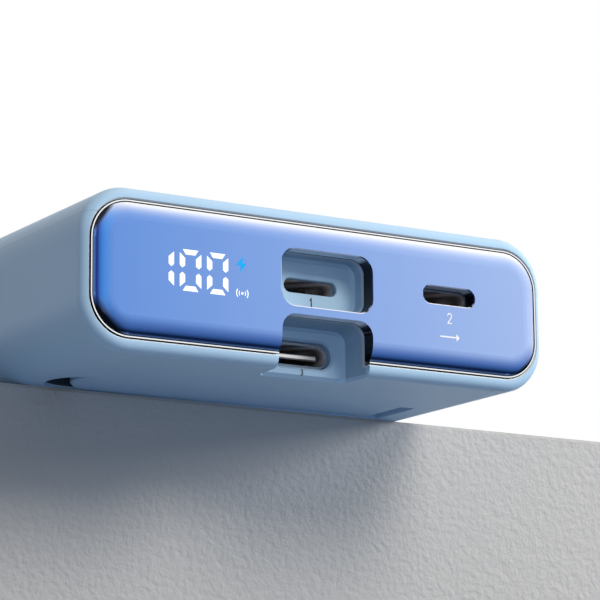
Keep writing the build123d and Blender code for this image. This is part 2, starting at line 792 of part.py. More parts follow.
with BuildPart() as capacitors:
    with BuildSketch(Plane.XY.offset(board_top)):
        with Locations(capacitor_place):
            with GridLocations(capacitor_pitch, 0, component_count, 1):
                RegularPolygon(capacitor_radius, post_sides)
    extrude(amount=capacitor_height)

keep(capacitors, "capacitors")

# ================================================================ sockets
# The upper and the side socket are the same receptacle: a flat metal shell on two feet,
# closed at the rear by an insulator that carries a row of contact springs.
for name, socket_x, mouth_y in (("upper_socket", 0, upper_socket_y), ("side_socket", side_socket_x, seat_y)):
    with BuildPart() as socket_shell:
        with BuildSketch(front_plane(mouth_y)):
            with Locations((socket_x, socket_z)):
                SlotOverall(socket_outer_width, socket_outer_height)
                SlotOverall(socket_width, socket_height, mode=Mode.SUBTRACT)
        extrude(amount=-socket_length)
        with BuildSketch(Plane.XY.offset(board_top)):
            foot_y = mouth_y + socket_length - foot_length / 2
            with Locations(*[(socket_x + side * foot_spread / 2, foot_y) for side in (-1, 1)]):
                Rectangle(foot_width, foot_length)
        extrude(amount=socket_foot + socket_wall / 2)
    keep(socket_shell, f"{name}_shell")

    with BuildPart() as socket_insulator:
        with BuildSketch(front_plane(mouth_y + socket_length)):
            with Locations((socket_x, socket_z)):
                Rectangle(socket_width - socket_height, socket_height)
        extrude(amount=socket_floor)
        with BuildSketch(front_plane(mouth_y + socket_length - socket_floor)):
            contact_z = socket_z - socket_height / 2 + contact_thickness
            with Locations((socket_x, contact_z)):
                with GridLocations(contact_pitch, 0, contact_count, 1):
                    Rectangle(contact_width, contact_thickness)
        extrude(amount=contact_length)
    keep(socket_insulator, f"{name}_insulator")

with BuildPart() as usb_c_shell:
    with BuildSketch(front_plane(usb_mouth_y)):
        with Locations((0, usb_z)):
            SlotOverall(usb_outer_width, usb_outer_height)
            SlotOverall(usb_width, usb_height, mode=Mode.SUBTRACT)
    extrude(amount=-usb_length)

keep(usb_c_shell, "usb_c_shell")

with BuildPart() as usb_c_tongue:
    with BuildSketch(front_plane(usb_mouth_y + usb_length)):
        with Locations((0, usb_z)):
            Rectangle(usb_width - usb_height, usb_height)
    extrude(amount=usb_floor)
    with BuildSketch(front_plane(usb_mouth_y + usb_length - usb_floor)):
        with Locations((0, usb_z)):
            Rectangle(tongue_width, tongue_thickness)
    extrude(amount=usb_length - usb_floor - tongue_set_back)
    tongue_tip = usb_c_tongue.faces().sort_by(Axis.Y)[0].edges()
    chamfer(tongue_tip, tongue_chamfer)

keep(usb_c_tongue, "usb_c_tongue")

# ================================================================ side button and its switch
with BuildPart() as power_button:
    with BuildSketch(Plane.YZ.offset(flange_x - flange_thickness)):
        with Locations((button_y, button_z)):
            Rectangle(button_length + 2 * flange_margin, button_height + 2 * flange_margin)
    extrude(amount=flange_thickness)
    with BuildSketch(Plane.YZ.offset(flange_x)):
        with Locations((button_y, button_z)):
            SlotOverall(button_length, button_height)
    extrude(amount=flange_gap + wall + button_proud)
    chamfer(power_button.faces().sort_by(Axis.X)[-1].edges(), button_edge)

keep(power_button, "power_button")

with BuildPart() as button_switch:
    with BuildSketch(Plane.XY.offset(board_top)):
        with Locations((switch_front_x - switch_depth / 2, button_y)):
            Rectangle(switch_depth, switch_length)
    extrude(amount=switch_height)
    with BuildSketch(Plane.YZ.offset(switch_front_x)):
        with Locations((button_y, button_z)):
            Rectangle(plunger_length + 2 * plunger_clearance, plunger_height + 2 * plunger_clearance)
    extrude(amount=-(plunger_depth + button_travel + plunger_clearance), mode=Mode.SUBTRACT)

keep(button_switch, "button_switch")

with BuildPart() as switch_plunger:
    with BuildSketch(Plane.YZ.offset(switch_front_x - plunger_depth)):
        with Locations((button_y, button_z)):
            Rectangle(plunger_length, plunger_height)
    extrude(amount=plunger_depth + plunger_reach)

keep(switch_plunger, "switch_plunger")

# ================================================================ battery
for name, cell_z in (("battery_cell_lower", lower_cell_z), ("battery_cell_upper", upper_cell_z)):
    with BuildPart() as cell:
        with BuildSketch(Plane.XY.offset(cell_z)):
            with Locations((0, cell_y + terrace_length / 2)):
                Rectangle(cell_width, cell_length - terrace_length)
        extrude(amount=cell_thickness)
        chamfer(cell.edges().filter_by(Axis.Y), cell_edge)
        # Sealed terrace at the front, where the tabs come out.
        with BuildSketch(Plane.XY.offset(cell_z + (cell_thickness - terrace_thickness) / 2)):
            with Locations((0, cell_front_y + terrace_length / 2)):
                Rectangle(cell_width - 2 * cell_edge, terrace_length)
        extrude(amount=terrace_thickness)
    keep(cell, name)

for name, pad_bottom, pad_top in (
    ("cell_glue_pad", wall, lower_cell_z),
    ("cell_foam_pad", lower_cell_z + cell_thickness, upper_cell_z),
    ("coil_foam_pad", cell_top, stack_bottom),
):
    with BuildPart() as pad:
        with BuildSketch(Plane.XY.offset(pad_bottom)):
            with Locations((0, pad_y)):
                Rectangle(pad_width, pad_length)
        extrude(amount=pad_top - pad_bottom)
    keep(pad, name)

# Nickel tabs: from each cell's terrace to the top of the main board.
with BuildPart() as cell_tabs:
    for tab_x, tab_cell_z in ((lower_tab_x, lower_cell_z), (upper_tab_x, upper_cell_z)):
        exit_z = tab_cell_z + cell_thickness / 2
        upright_bottom = min(exit_z - terrace_thickness / 2, board_top)
        upright_top = max(exit_z + terrace_thickness / 2, board_top + tab_thickness)
        with BuildSketch(front_plane(cell_front_y)):
            with Locations((0, (upright_bottom + upright_top) / 2)):
                with GridLocations(2 * tab_x, 0, 2, 1):
                    Rectangle(tab_width, upright_top - upright_bottom)
        extrude(amount=tab_thickness)
        with BuildSketch(Plane.XY.offset(board_top)):
            with Locations((0, cell_front_y - tab_reach / 2)):
                with GridLocations(2 * tab_x, 0, 2, 1):
                    Rectangle(tab_width, tab_reach)
        extrude(amount=tab_thickness)

keep(cell_tabs, "cell_tabs")

# ================================================================ charging coil and magnets
with BuildPart() as charging_coil:
    with BuildSketch(Plane.XY.offset(coil_bottom)):
        with Locations((0, coil_y)):
            RegularPolygon(coil_outer_radius, coil_sides)
            RegularPolygon(coil_inner_radius, coil_sides, mode=Mode.SUBTRACT)
    extrude(amount=coil_thickness)

keep(charging_coil, "charging_coil")

with BuildPart() as ferrite_sheet:
    with BuildSketch(Plane.XY.offset(stack_bottom)):
        with Locations((0, coil_y)):
            magnet_outline(ferrite_radius)
    extrude(amount=ferrite_thickness)

keep(ferrite_sheet, "ferrite_sheet")

with BuildPart() as magnet_ring:
    with BuildSketch(Plane.XY.offset(coil_bottom)):
        with Locations((0, coil_y)):
            magnet_outline(magnet_outer_radius)
            magnet_outline(magnet_inner_radius, mode=Mode.SUBTRACT)
            with PolarLocations(magnet_outer_radius - magnet_width / 2, magnet_count, magnet_half_angle):
                Rectangle(2 * magnet_width, magnet_gap, mode=Mode.SUBTRACT)
    extrude(amount=coil_thickness)

keep(magnet_ring, "magnet_ring")

with BuildPart() as shield_ring:
    with BuildSketch(Plane.XY.offset(stack_bottom)):
        with Locations((0, coil_y)):
            magnet_outline(magnet_outer_radius)
            magnet_outline(magnet_inner_radius, mode=Mode.SUBTRACT)
    extrude(amount=ferrite_thickness)

keep(shield_ring, "shield_ring")

with BuildPart() as key_magnet:
    with BuildSketch(Plane.XY.offset(coil_bottom)) as key_outline:
        with Locations((0, key_y)):
            Rectangle(key_magnet_width, key_magnet_length)
        chamfer(key_outline.vertices(), key_magnet_corner)
    extrude(amount=coil_thickness)

keep(key_magnet, "key_magnet")

# ================================================================ stand leg
with BuildPart() as stand_leg:
    with BuildSketch(Plane.XY.offset(leg_rise)):
        leg_round_x = leg_left + leg_width / 2
        with Locations((leg_round_x, leg_y)):
            Circle(leg_width / 2)
        with Locations(((leg_round_x + leg_right) / 2, leg_y)):
            Rectangle(leg_right - leg_round_x, leg_width)
    extrude(amount=leg_thickness)
    chamfer(stand_leg.faces().sort_by(Axis.Z)[0].edges(), leg_edge_chamfer)
    with BuildSketch(front_plane(leg_y)):
        with Locations((hinge_x, hinge_z)):
            Circle(barrel_radius)
    extrude(amount=leg_width / 2, both=True)
    with BuildSketch(front_plane(leg_y)):
        with Locations((hinge_x, hinge_z)):
            Circle(pin_radius + pin_fit)
    extrude(amount=leg_width / 2, both=True, mode=Mode.SUBTRACT)

keep(stand_leg, "stand_leg")

with BuildPart() as stand_pin:
    with BuildSketch(front_plane(leg_y)):
        with Locations((hinge_x, hinge_z)):
            Circle(pin_radius)
    extrude(amount=pocket_width / 2 + bush_length, both=True)

keep(stand_pin, "stand_pin")

with BuildPart() as stand_bushes:
    for bush_y in (pocket_front_y, pocket_rear_y + bush_length):
        with BuildSketch(front_plane(bush_y)):
            with Locations((hinge_x, hinge_z)):
                RegularPolygon(bush_outer_radius, post_sides, major_radius=False)
                Circle(bush_inner_radius, mode=Mode.SUBTRACT)
        extrude(amount=bush_length)

keep(stand_bushes, "stand_bushes")
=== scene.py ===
import math

import bmesh
import bpy
from bpy.props import FloatProperty, FloatVectorProperty, IntProperty, PointerProperty
from mathutils import Matrix, Vector


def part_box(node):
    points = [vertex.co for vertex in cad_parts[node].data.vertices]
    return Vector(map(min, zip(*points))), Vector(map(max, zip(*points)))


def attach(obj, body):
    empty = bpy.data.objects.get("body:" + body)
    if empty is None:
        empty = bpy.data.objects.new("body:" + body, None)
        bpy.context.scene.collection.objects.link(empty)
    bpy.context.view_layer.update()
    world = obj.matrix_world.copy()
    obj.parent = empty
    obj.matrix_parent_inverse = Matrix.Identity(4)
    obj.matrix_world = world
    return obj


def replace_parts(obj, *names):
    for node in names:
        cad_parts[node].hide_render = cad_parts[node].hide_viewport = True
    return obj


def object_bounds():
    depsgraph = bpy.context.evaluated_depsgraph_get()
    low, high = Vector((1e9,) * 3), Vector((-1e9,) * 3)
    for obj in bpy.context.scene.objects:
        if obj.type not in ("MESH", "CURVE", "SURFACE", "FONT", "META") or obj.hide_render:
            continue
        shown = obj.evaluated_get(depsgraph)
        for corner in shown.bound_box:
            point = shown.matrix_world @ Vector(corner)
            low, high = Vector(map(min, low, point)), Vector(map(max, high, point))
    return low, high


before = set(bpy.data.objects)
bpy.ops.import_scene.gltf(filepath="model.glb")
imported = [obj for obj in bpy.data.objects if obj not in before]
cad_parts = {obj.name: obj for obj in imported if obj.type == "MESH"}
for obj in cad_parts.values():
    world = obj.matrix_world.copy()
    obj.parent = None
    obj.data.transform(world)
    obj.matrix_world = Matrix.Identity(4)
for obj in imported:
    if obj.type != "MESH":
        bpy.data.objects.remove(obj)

bl_info = {
    "name": "Magnetic power bank finish",
    "version": (1, 0, 0),
    "blender": (4, 5, 0),
    "location": "3D View > Sidebar > Power bank",
    "description": "Finishes, display signs, port marks and a studio for the packed power bank",
    "category": "Object",
}

MM = 0.001
WELD = 0.001 * MM           # points nearer to each other than this are one point
HOUSING = "housing"


def linear_rgb(hex_colour):
    """Linear red, green and blue of an sRGB colour written as six hex digits."""
    channels = [int(hex_colour[i:i + 2], 16) / 255 for i in (0, 2, 4)]
    return tuple(c / 12.92 if c <= 0.04045 else ((c + 0.055) / 1.055) ** 2.4 for c in channels)


def rgba(hex_colour):
    """The same colour with full alpha, as node sockets take it."""
    return (*linear_rgb(hex_colour), 1.0)


bpy.context.view_layer.update()
CAD_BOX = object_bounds()
PLATE_LOW, PLATE_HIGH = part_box("fascia")
TRIM_LOW, TRIM_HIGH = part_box("fascia_trim_ring")
SIDE_SOCKET_LOW, SIDE_SOCKET_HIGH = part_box("side_socket_shell")
USB_LOW, USB_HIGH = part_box("usb_c_shell")
TONGUE_LOW, TONGUE_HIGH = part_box("usb_c_tongue")
LEG_LOW, LEG_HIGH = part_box("stand_leg")
COIL_LOW, COIL_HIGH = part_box("charging_coil")
SEAT_RADIUS = 5.25 * MM     # corners of the plate's seat in the shells
SEAM_HEIGHT = 16.8 * MM     # where the top cover meets the lower shell


# ---------------------------------------------------------------- sizes and colours
class PowerBankDisplay(bpy.types.PropertyGroup):
    """The lit figures and signs behind the front plate."""

    digit_width: FloatProperty(
        name="Digit width", description="Outer width of one seven-bar digit",
        default=3.0 * MM, unit="LENGTH", precision=5)
    digit_height: FloatProperty(
        name="Digit height", description="Outer height of one seven-bar digit",
        default=5.15 * MM, unit="LENGTH", precision=5)
    digit_pitch: FloatProperty(
        name="Digit pitch", description="From the middle of one digit to the next",
        default=3.80 * MM, unit="LENGTH", precision=5)
    stroke: FloatProperty(
        name="Stroke", description="Width of one lit bar",
        default=0.74 * MM, unit="LENGTH", precision=5)
    last_digit: FloatVectorProperty(
        name="Last digit", description="Middle of the last digit across and above the underside",
        size=2, default=(-15.94 * MM, 10.6 * MM), unit="LENGTH", precision=5)
    zero_count: IntProperty(
        name="Full digits", description="Digits that show a zero after the leading one",
        default=2, min=1)
    bolt_place: FloatVectorProperty(
        name="Bolt sign", description="Middle of the charging sign",
        size=2, default=(-12.55 * MM, 12.2 * MM), unit="LENGTH", precision=5)
    waves_place: FloatVectorProperty(
        name="Wave sign", description="Middle of the wireless sign",
        size=2, default=(-12.45 * MM, 8.54 * MM), unit="LENGTH", precision=5)
    film: FloatProperty(
        name="Film", description="Thickness of a printed or lit shape on its surface",
        default=0.02 * MM, unit="LENGTH", precision=6)


class PowerBankMarks(bpy.types.PropertyGroup):
    """Plain numbers printed at the three sockets, and an arrow."""

    upper_number_height: FloatProperty(
        name="Upper number", description="Height of the number in the upper recess",
        default=1.1 * MM, unit="LENGTH", precision=5)
    plate_number_height: FloatProperty(
        name="Plate number", description="Height of the number under the side socket",
        default=1.3 * MM, unit="LENGTH", precision=5)
    lower_number_height: FloatProperty(
        name="Lower number", description="Height of the number in the lower recess",
        default=0.68 * MM, unit="LENGTH", precision=5)
    number_tops: FloatVectorProperty(
        name="Tops", description="Tops of the upper, plate and lower number above the underside",
        size=3, default=(9.92 * MM, 9.15 * MM, 1.17 * MM), unit="LENGTH", precision=5)
    upper_wall_depth: FloatProperty(
        name="Upper recess", description="Back wall of the upper recess behind the plate's face",
        default=4.1 * MM, unit="LENGTH", precision=5)
    lower_wall_depth: FloatProperty(
        name="Lower recess", description="Back wall of the lower recess behind the plate's face",
        default=6.4 * MM, unit="LENGTH", precision=5)
    arrow_width: FloatProperty(
        name="Arrow", description="Width of the input arrow under the side socket",
        default=3.0 * MM, unit="LENGTH", precision=5)
    arrow_place: FloatProperty(
        name="Arrow's place", description="Middle of the arrow above the underside",
        default=6.05 * MM, unit="LENGTH", precision=5)


class PowerBankColours(bpy.types.PropertyGroup):
    """Colours of the outer finishes."""

    shell: FloatVectorProperty(
        name="Shell", description="Moulded shells, button and stand",
        subtype="COLOR", size=3, default=linear_rgb("B2D3EE"), min=0, max=1)
    plate_left: FloatVectorProperty(
        name="Plate, display end", description="Front plate's film at the display",
        subtype="COLOR", size=3, default=linear_rgb("6696E2"), min=0, max=1)
    plate_right: FloatVectorProperty(
        name="Plate, socket end", description="Front plate's film at the side socket",
        subtype="COLOR", size=3, default=linear_rgb("A1BAEA"), min=0, max=1)
    lit_sign: FloatVectorProperty(
        name="Lit bars", description="Light of the digits",
        subtype="COLOR", size=3, default=linear_rgb("FFFFFF"), min=0, max=1)
    bolt: FloatVectorProperty(
        name="Charging sign", description="Light of the charging sign",
        subtype="COLOR", size=3, default=linear_rgb("19A5EB"), min=0, max=1)


class PowerBankStudio(bpy.types.PropertyGroup):
    """Camera, plinth and lights."""

    camera_place: FloatVectorProperty(
        name="Camera", description="Where the camera stands",
        size=3, default=(-177.6 * MM, -331.7 * MM, -61.2 * MM), unit="LENGTH", precision=4)
    camera_angles: FloatVectorProperty(
        name="Camera angles", description="Turn to the right, tilt upwards and roll",
        size=3, default=tuple(math.radians(a) for a in (31.90, 12.00, -0.54)), unit="ROTATION")
    lens: FloatProperty(name="Lens", description="Focal length in millimetres", default=162.06)
    plinth_edge: FloatProperty(
        name="Plinth edge", description="Front edge of the plinth under the part's middle",
        default=-25.8 * MM, unit="LENGTH", precision=4)
    plinth_turn: FloatProperty(
        name="Plinth turn", description="Turn of the plinth against the part",
        default=math.radians(1.2), unit="ROTATION")
    key_power: FloatProperty(
        name="Key light", description="Power in watts of the lamp above the front", default=4.9)
    fill_power: FloatProperty(
        name="Fill light", description="Power in watts of the lamp low on the left", default=0.64)
    side_power: FloatProperty(
        name="Side light", description="Power in watts of the lamp beside the plinth", default=1.2)
    ambient: FloatProperty(
        name="Ambient", description="Strength of the surrounding light", default=0.27)


SETTINGS = (
    ("power_bank_display", PowerBankDisplay),
    ("power_bank_marks", PowerBankMarks),
    ("power_bank_colours", PowerBankColours),
    ("power_bank_studio", PowerBankStudio),
)


# ---------------------------------------------------------------- shared steps
def add_node(tree, kind, inputs=None, **settings):
    """Add a node, apply its settings, and set its inputs or link them to other sockets.

    A list of sockets is linked to one input in that order.
    """
    node = tree.nodes.new(kind)
    for name, value in settings.items():
        setattr(node, name, value)
    for key, value in (inputs or {}).items():
        for item in value if isinstance(value, list) else [value]:
            if isinstance(item, bpy.types.NodeSocket):
                tree.links.new(item, node.inputs[key])
            else:
                node.inputs[key].default_value = item
    return node


def set_ramp(node, stops):
    """Give a colour ramp its stops, as (position, hex colour, alpha) from left to right."""
    elements = node.color_ramp.elements
    while len(elements) < len(stops):
        elements.new(0.5)
    for element, (position, hex_colour, alpha) in zip(elements, stops):
        element.position = position
        element.color = (*linear_rgb(hex_colour), alpha)


def start_material(name):
    """A new material: returns it, its node tree, and the place and normal on the piece."""
    material = bpy.data.materials.new(name)
    material.use_nodes = True
    tree = material.node_tree
    tree.nodes.clear()
    source = add_node(tree, "ShaderNodeTexCoord").outputs
    return material, tree, source["Object"], source["Normal"]


def finish_material(material, shader):
    """Link a shader to the material's surface, and return the material."""
    add_node(material.node_tree, "ShaderNodeOutputMaterial", {"Surface": shader.outputs[0]})
    return material


def in_box(tree, place, low, high, radius=WELD):
    """Value that is 1 inside a box of object space, its corners rounded as seen from the front."""
    middle = (low + high) / 2
    reach = high - middle - Vector((radius, 0, radius))
    # The depth counts a thousandfold, so only the corners across the front are rounded.
    stretch = Vector((1, 1000, 1))
    for operation, amount in (
        ("SUBTRACT", middle), ("ABSOLUTE", Vector()), ("SUBTRACT", reach),
        ("MAXIMUM", Vector()), ("MULTIPLY", stretch),
    ):
        place = add_node(tree, "ShaderNodeVectorMath", {
            0: place, 1: amount}, operation=operation).outputs["Vector"]
    away = add_node(tree, "ShaderNodeVectorMath", {0: place}, operation="LENGTH")
    inside = add_node(tree, "ShaderNodeMath", {
        0: away.outputs["Value"], 1: radius}, operation="LESS_THAN")
    return inside.outputs["Value"]


def side_on(tree, normal, limit):
    """Value that is 1 where a face looks less than a limit to the front or rear, else 0."""
    split = add_node(tree, "ShaderNodeSeparateXYZ", {"Vector": normal})
    turned = add_node(tree, "ShaderNodeMath", {0: split.outputs["Y"]}, operation="ABSOLUTE")
    under = add_node(tree, "ShaderNodeMath", {
        0: turned.outputs["Value"], 1: limit}, operation="LESS_THAN")
    return under.outputs["Value"]


def paint(material, *nodes):
    """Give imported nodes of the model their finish."""
    for name in nodes:
        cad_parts[name].material_slots[0].material = material


def add_piece(name, mesh, material, body=HOUSING):
    """Place a finished mesh as a piece that rides on a body."""
    piece = bpy.data.objects.new(name, mesh)
    bpy.context.scene.collection.objects.link(piece)
    mesh.materials.clear()
    mesh.materials.append(material)
    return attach(piece, body)


def flat_shapes(name, outlines, front_y, depth):
    """Mesh of flat closed shapes that face the front: outlines are lists of (x, z) points."""
    mesh = bpy.data.meshes.new(name)
    shapes = bmesh.new()
    for outline in outlines:
        corners = [shapes.verts.new((x, front_y, z)) for x, z in outline]
        shapes.faces.new(corners)
    solid = bmesh.ops.extrude_face_region(shapes, geom=list(shapes.faces))
    moved = [item for item in solid["geom"] if isinstance(item, bmesh.types.BMVert)]
    bmesh.ops.translate(shapes, verts=moved, vec=(0, depth, 0))
    bmesh.ops.recalc_face_normals(shapes, faces=shapes.faces)
    shapes.to_mesh(mesh)
    shapes.free()
    return mesh


# ---------------------------------------------------------------- finishes
def moulded_polycarbonate(colours, name, with_seam_and_painted_light):
    """Polycarbonate blend, injection moulded in a vapour-blasted tool.

    The fine satin of the tool spreads each highlight into a soft band, and the pigment
    clouds very slightly over a few centimetres. A shell with the seam and painted light also
    gets the seam's dark line, a painted highlight on the lip, and painted shade round the
    plate, in the recesses and in the pocket.
    """
    material, tree, place, normal = start_material(name)
    clouding = 0.03
    cloud = add_node(tree, "ShaderNodeTexNoise", {
        "Vector": place, "Scale": 1 / (25 * MM), "Detail": 2.0})
    colour = add_node(tree, "ShaderNodeMix", {
        "Factor": cloud.outputs["Fac"],
        "A": (*[c * (1 - clouding) for c in colours.shell], 1.0),
        "B": (*[min(c * (1 + clouding), 1) for c in colours.shell], 1.0),
    }, data_type="RGBA").outputs["Result"]
    if with_seam_and_painted_light:
        colour = shell_seam_and_painted_light(tree, place, normal, colour)
    # The blasting is about 0.05 mm across, drawn at 0.25 mm so that it can be seen.
    grain = add_node(tree, "ShaderNodeTexNoise", {
        "Vector": place, "Scale": 1 / (0.25 * MM), "Detail": 3.0})
    relief = add_node(tree, "ShaderNodeBump", {
        "Height": grain.outputs["Fac"], "Strength": 0.05, "Distance": 0.02 * MM})
    gloss = add_node(tree, "ShaderNodeMapRange", {
        "Value": grain.outputs["Fac"], "To Min": 0.38, "To Max": 0.46})
    shader = add_node(tree, "ShaderNodeBsdfPrincipled", {
        "Base Color": colour, "Roughness": gloss.outputs["Result"],
        "Normal": relief.outputs["Normal"], "IOR": 1.58, "Specular IOR Level": 0.3})
    return finish_material(material, shader)


def shell_seam_and_painted_light(tree, place, normal, colour):
    """Colour of the shells: the seam's dark line, a painted highlight on the lip, and painted shade
    in the recesses, the plate's seat and the leg's pocket.
    """
    spot = add_node(tree, "ShaderNodeSeparateXYZ", {"Vector": place}).outputs
    facing = add_node(tree, "ShaderNodeSeparateXYZ", {"Vector": normal}).outputs
    # The plate's seat reaches a little past the ring that lies in it, and has a lip round it. The
    # seat's walls get a near black painted shadow of the gap, and the lip's chamfer gets a painted
    # highlight.
    gap = Vector((0.2 * MM, 0.05 * MM, 0.2 * MM))
    seat_low = TRIM_LOW - gap
    seat_high = Vector((TRIM_HIGH.x, PLATE_HIGH.y, TRIM_HIGH.z)) + gap
    lip = Vector((0.2 * MM, 0.6 * MM, 0.2 * MM))
    seat = in_box(tree, place, seat_low, seat_high, SEAT_RADIUS)
    seat_lip = in_box(tree, place, seat_low - lip, seat_high + lip, SEAT_RADIUS + lip.x)
    # Both recesses in one box, from behind the plate to the lower socket, for their painted shade.
    recess_side = 3.5 * MM
    recesses = in_box(
        tree, place,
        Vector((USB_LOW.x - recess_side, PLATE_HIGH.y, 0.5 * MM)),
        Vector((USB_HIGH.x + recess_side, USB_LOW.y + 0.5 * MM, PLATE_HIGH.z)))
    # The leg's pocket, with the finger gap at its round end, is painted dark inside as shade.
    finger_gap = 4.0 * MM
    pocket = in_box(
        tree, place,
        Vector((LEG_LOW.x - finger_gap, LEG_LOW.y - 0.3 * MM, 0.5 * MM)),
        Vector((LEG_HIGH.x + 0.5 * MM, LEG_HIGH.y + 0.3 * MM, LEG_HIGH.z + 1.0 * MM)))
    # The seam between the shells is a thin dark line.
    seam = add_node(tree, "ShaderNodeMath", {
        0: spot["Z"], 1: SEAM_HEIGHT, 2: 0.06 * MM}, operation="COMPARE").outputs["Value"]
    # Painted shade in the recesses: on the drafted walls, the more they turn side-on, and on the
    # roofs, the more they face down.
    upright = add_node(tree, "ShaderNodeMath", {0: facing["Y"]}, operation="ABSOLUTE")
    walls = add_node(tree, "ShaderNodeMapRange", {
        "Value": upright.outputs["Value"], "From Min": 0.9, "From Max": 0.3}).outputs["Result"]
    roofs = add_node(tree, "ShaderNodeMapRange", {
        "Value": facing["Z"], "From Min": -0.3, "From Max": -0.9}).outputs["Result"]
    # Where each tone lies, its strength over the one below it, and its colour.
    for masks, strength, hex_colour in (
        # Painted highlight on the lip's chamfer.
        ((seat_lip, side_on(tree, normal, 0.85)), 0.5, "FFFFFF"),
        ((seam,), 0.25, "5C7088"),
        # Painted shade on the recesses' walls and roofs.
        ((recesses, walls), 0.28, "1E2E40"),
        ((recesses, roofs), 0.24, "1E2E40"),
        # Painted shadow of the gap round the plate: the seat's walls are near black.
        ((seat, side_on(tree, normal, 0.5)), 1.0, "0B0D12"),
        # Painted shade inside the leg's pocket, near black.
        ((pocket,), 0.92, "10141A"),
    ):
        factor = strength
        for mask in masks:
            factor = add_node(tree, "ShaderNodeMath", {
                0: factor, 1: mask}, operation="MULTIPLY").outputs["Value"]
        colour = add_node(tree, "ShaderNodeMix", {
            "Factor": factor, "A": colour, "B": rgba(hex_colour)},
            data_type="RGBA").outputs["Result"]
    return colour


# Near black painted reflection for the border's corners.
PAINTED_DARK_REFLECTION = "04060C"         # near black in the corners of the plate's border
# Painted reflections and painted shade on the border, one row for each side or corner: the
# direction it leans towards, how well its heading has to match (as a cosine, from no effect
# to full effect), and the tones as (lean, colour, strength), where a lean of 0 is the flat
# plate, 0.68 the outer edge and 0.71 a window's chamfer.
PAINTED_BORDER_REFLECTIONS = (
    ((-1, 0, 0), (0, 1), (
        (0.08, "54A0FF", 0), (0.20, "54A0FF", 0.6), (0.34, "4EA2FF", 1), (0.44, "4292FA", 1),
        (0.50, "347ADF", 1), (0.565, "002F9A", 1), (0.585, "002F9A", 1), (0.64, "74A6F6", 1),
        (0.68, "74A6F6", 1), (0.70, "12265C", 1))),
    ((1, 0, 0), (0, 1), (
        (0.05, "A4B8E2", 0), (0.40, "A4B6DC", 1), (0.62, "A4B6DC", 1), (0.67, "2A3350", 1),
        (0.68, "2A3350", 1), (0.70, "D5E2FF", 1))),
    ((0, 0, -1), (0, 1), (
        (0.04, "4E74BE", 0), (0.30, "4C74C0", 0.75), (0.42, "4A72BA", 1), (0.50, "365C9E", 1),
        (0.57, "08204C", 1), (0.60, "102850", 1), (0.63, "6E90CC", 1), (0.66, "DCE8FF", 1))),
    ((0, 0, 1), (0, 1), (
        (0.04, "FFFFFF", 0), (0.20, "FFFFFF", 0.05), (0.30, "FFFFFF", 0.14),
        (0.38, "FFFFFF", 0.25), (0.46, "FFFFFF", 0.42), (0.54, "FFFFFF", 0.64),
        (0.64, "FFFFFF", 0.90))),
    # Corners: lower left, upper left and lower right, with near black painted reflections.
    ((-0.69, 0, -0.72), (0.40, 1), (
        (0.34, PAINTED_DARK_REFLECTION, 0), (0.46, PAINTED_DARK_REFLECTION, 0.6), (0.54, PAINTED_DARK_REFLECTION, 1), (0.68, PAINTED_DARK_REFLECTION, 1),
        (0.70, PAINTED_DARK_REFLECTION, 0))),
    ((-0.80, 0, 0.60), (0.45, 1), (
        (0.50, PAINTED_DARK_REFLECTION, 0), (0.60, PAINTED_DARK_REFLECTION, 1), (0.68, PAINTED_DARK_REFLECTION, 1), (0.70, PAINTED_DARK_REFLECTION, 0))),
    ((0.69, 0, -0.72), (0.45, 1), (
        (0.50, PAINTED_DARK_REFLECTION, 0), (0.62, PAINTED_DARK_REFLECTION, 1), (0.68, PAINTED_DARK_REFLECTION, 1), (0.70, PAINTED_DARK_REFLECTION, 0))),
)
# Painted light and shade of a cut wall by how far it faces down: near black, paling where it faces
# down.
PAINTED_WALL_LIGHT_AND_SHADE = ((0.0, "070B14", 1), (0.35, "0B1222", 1), (0.75, "1A2638", 1), (0.93, "E6F0FF", 1))


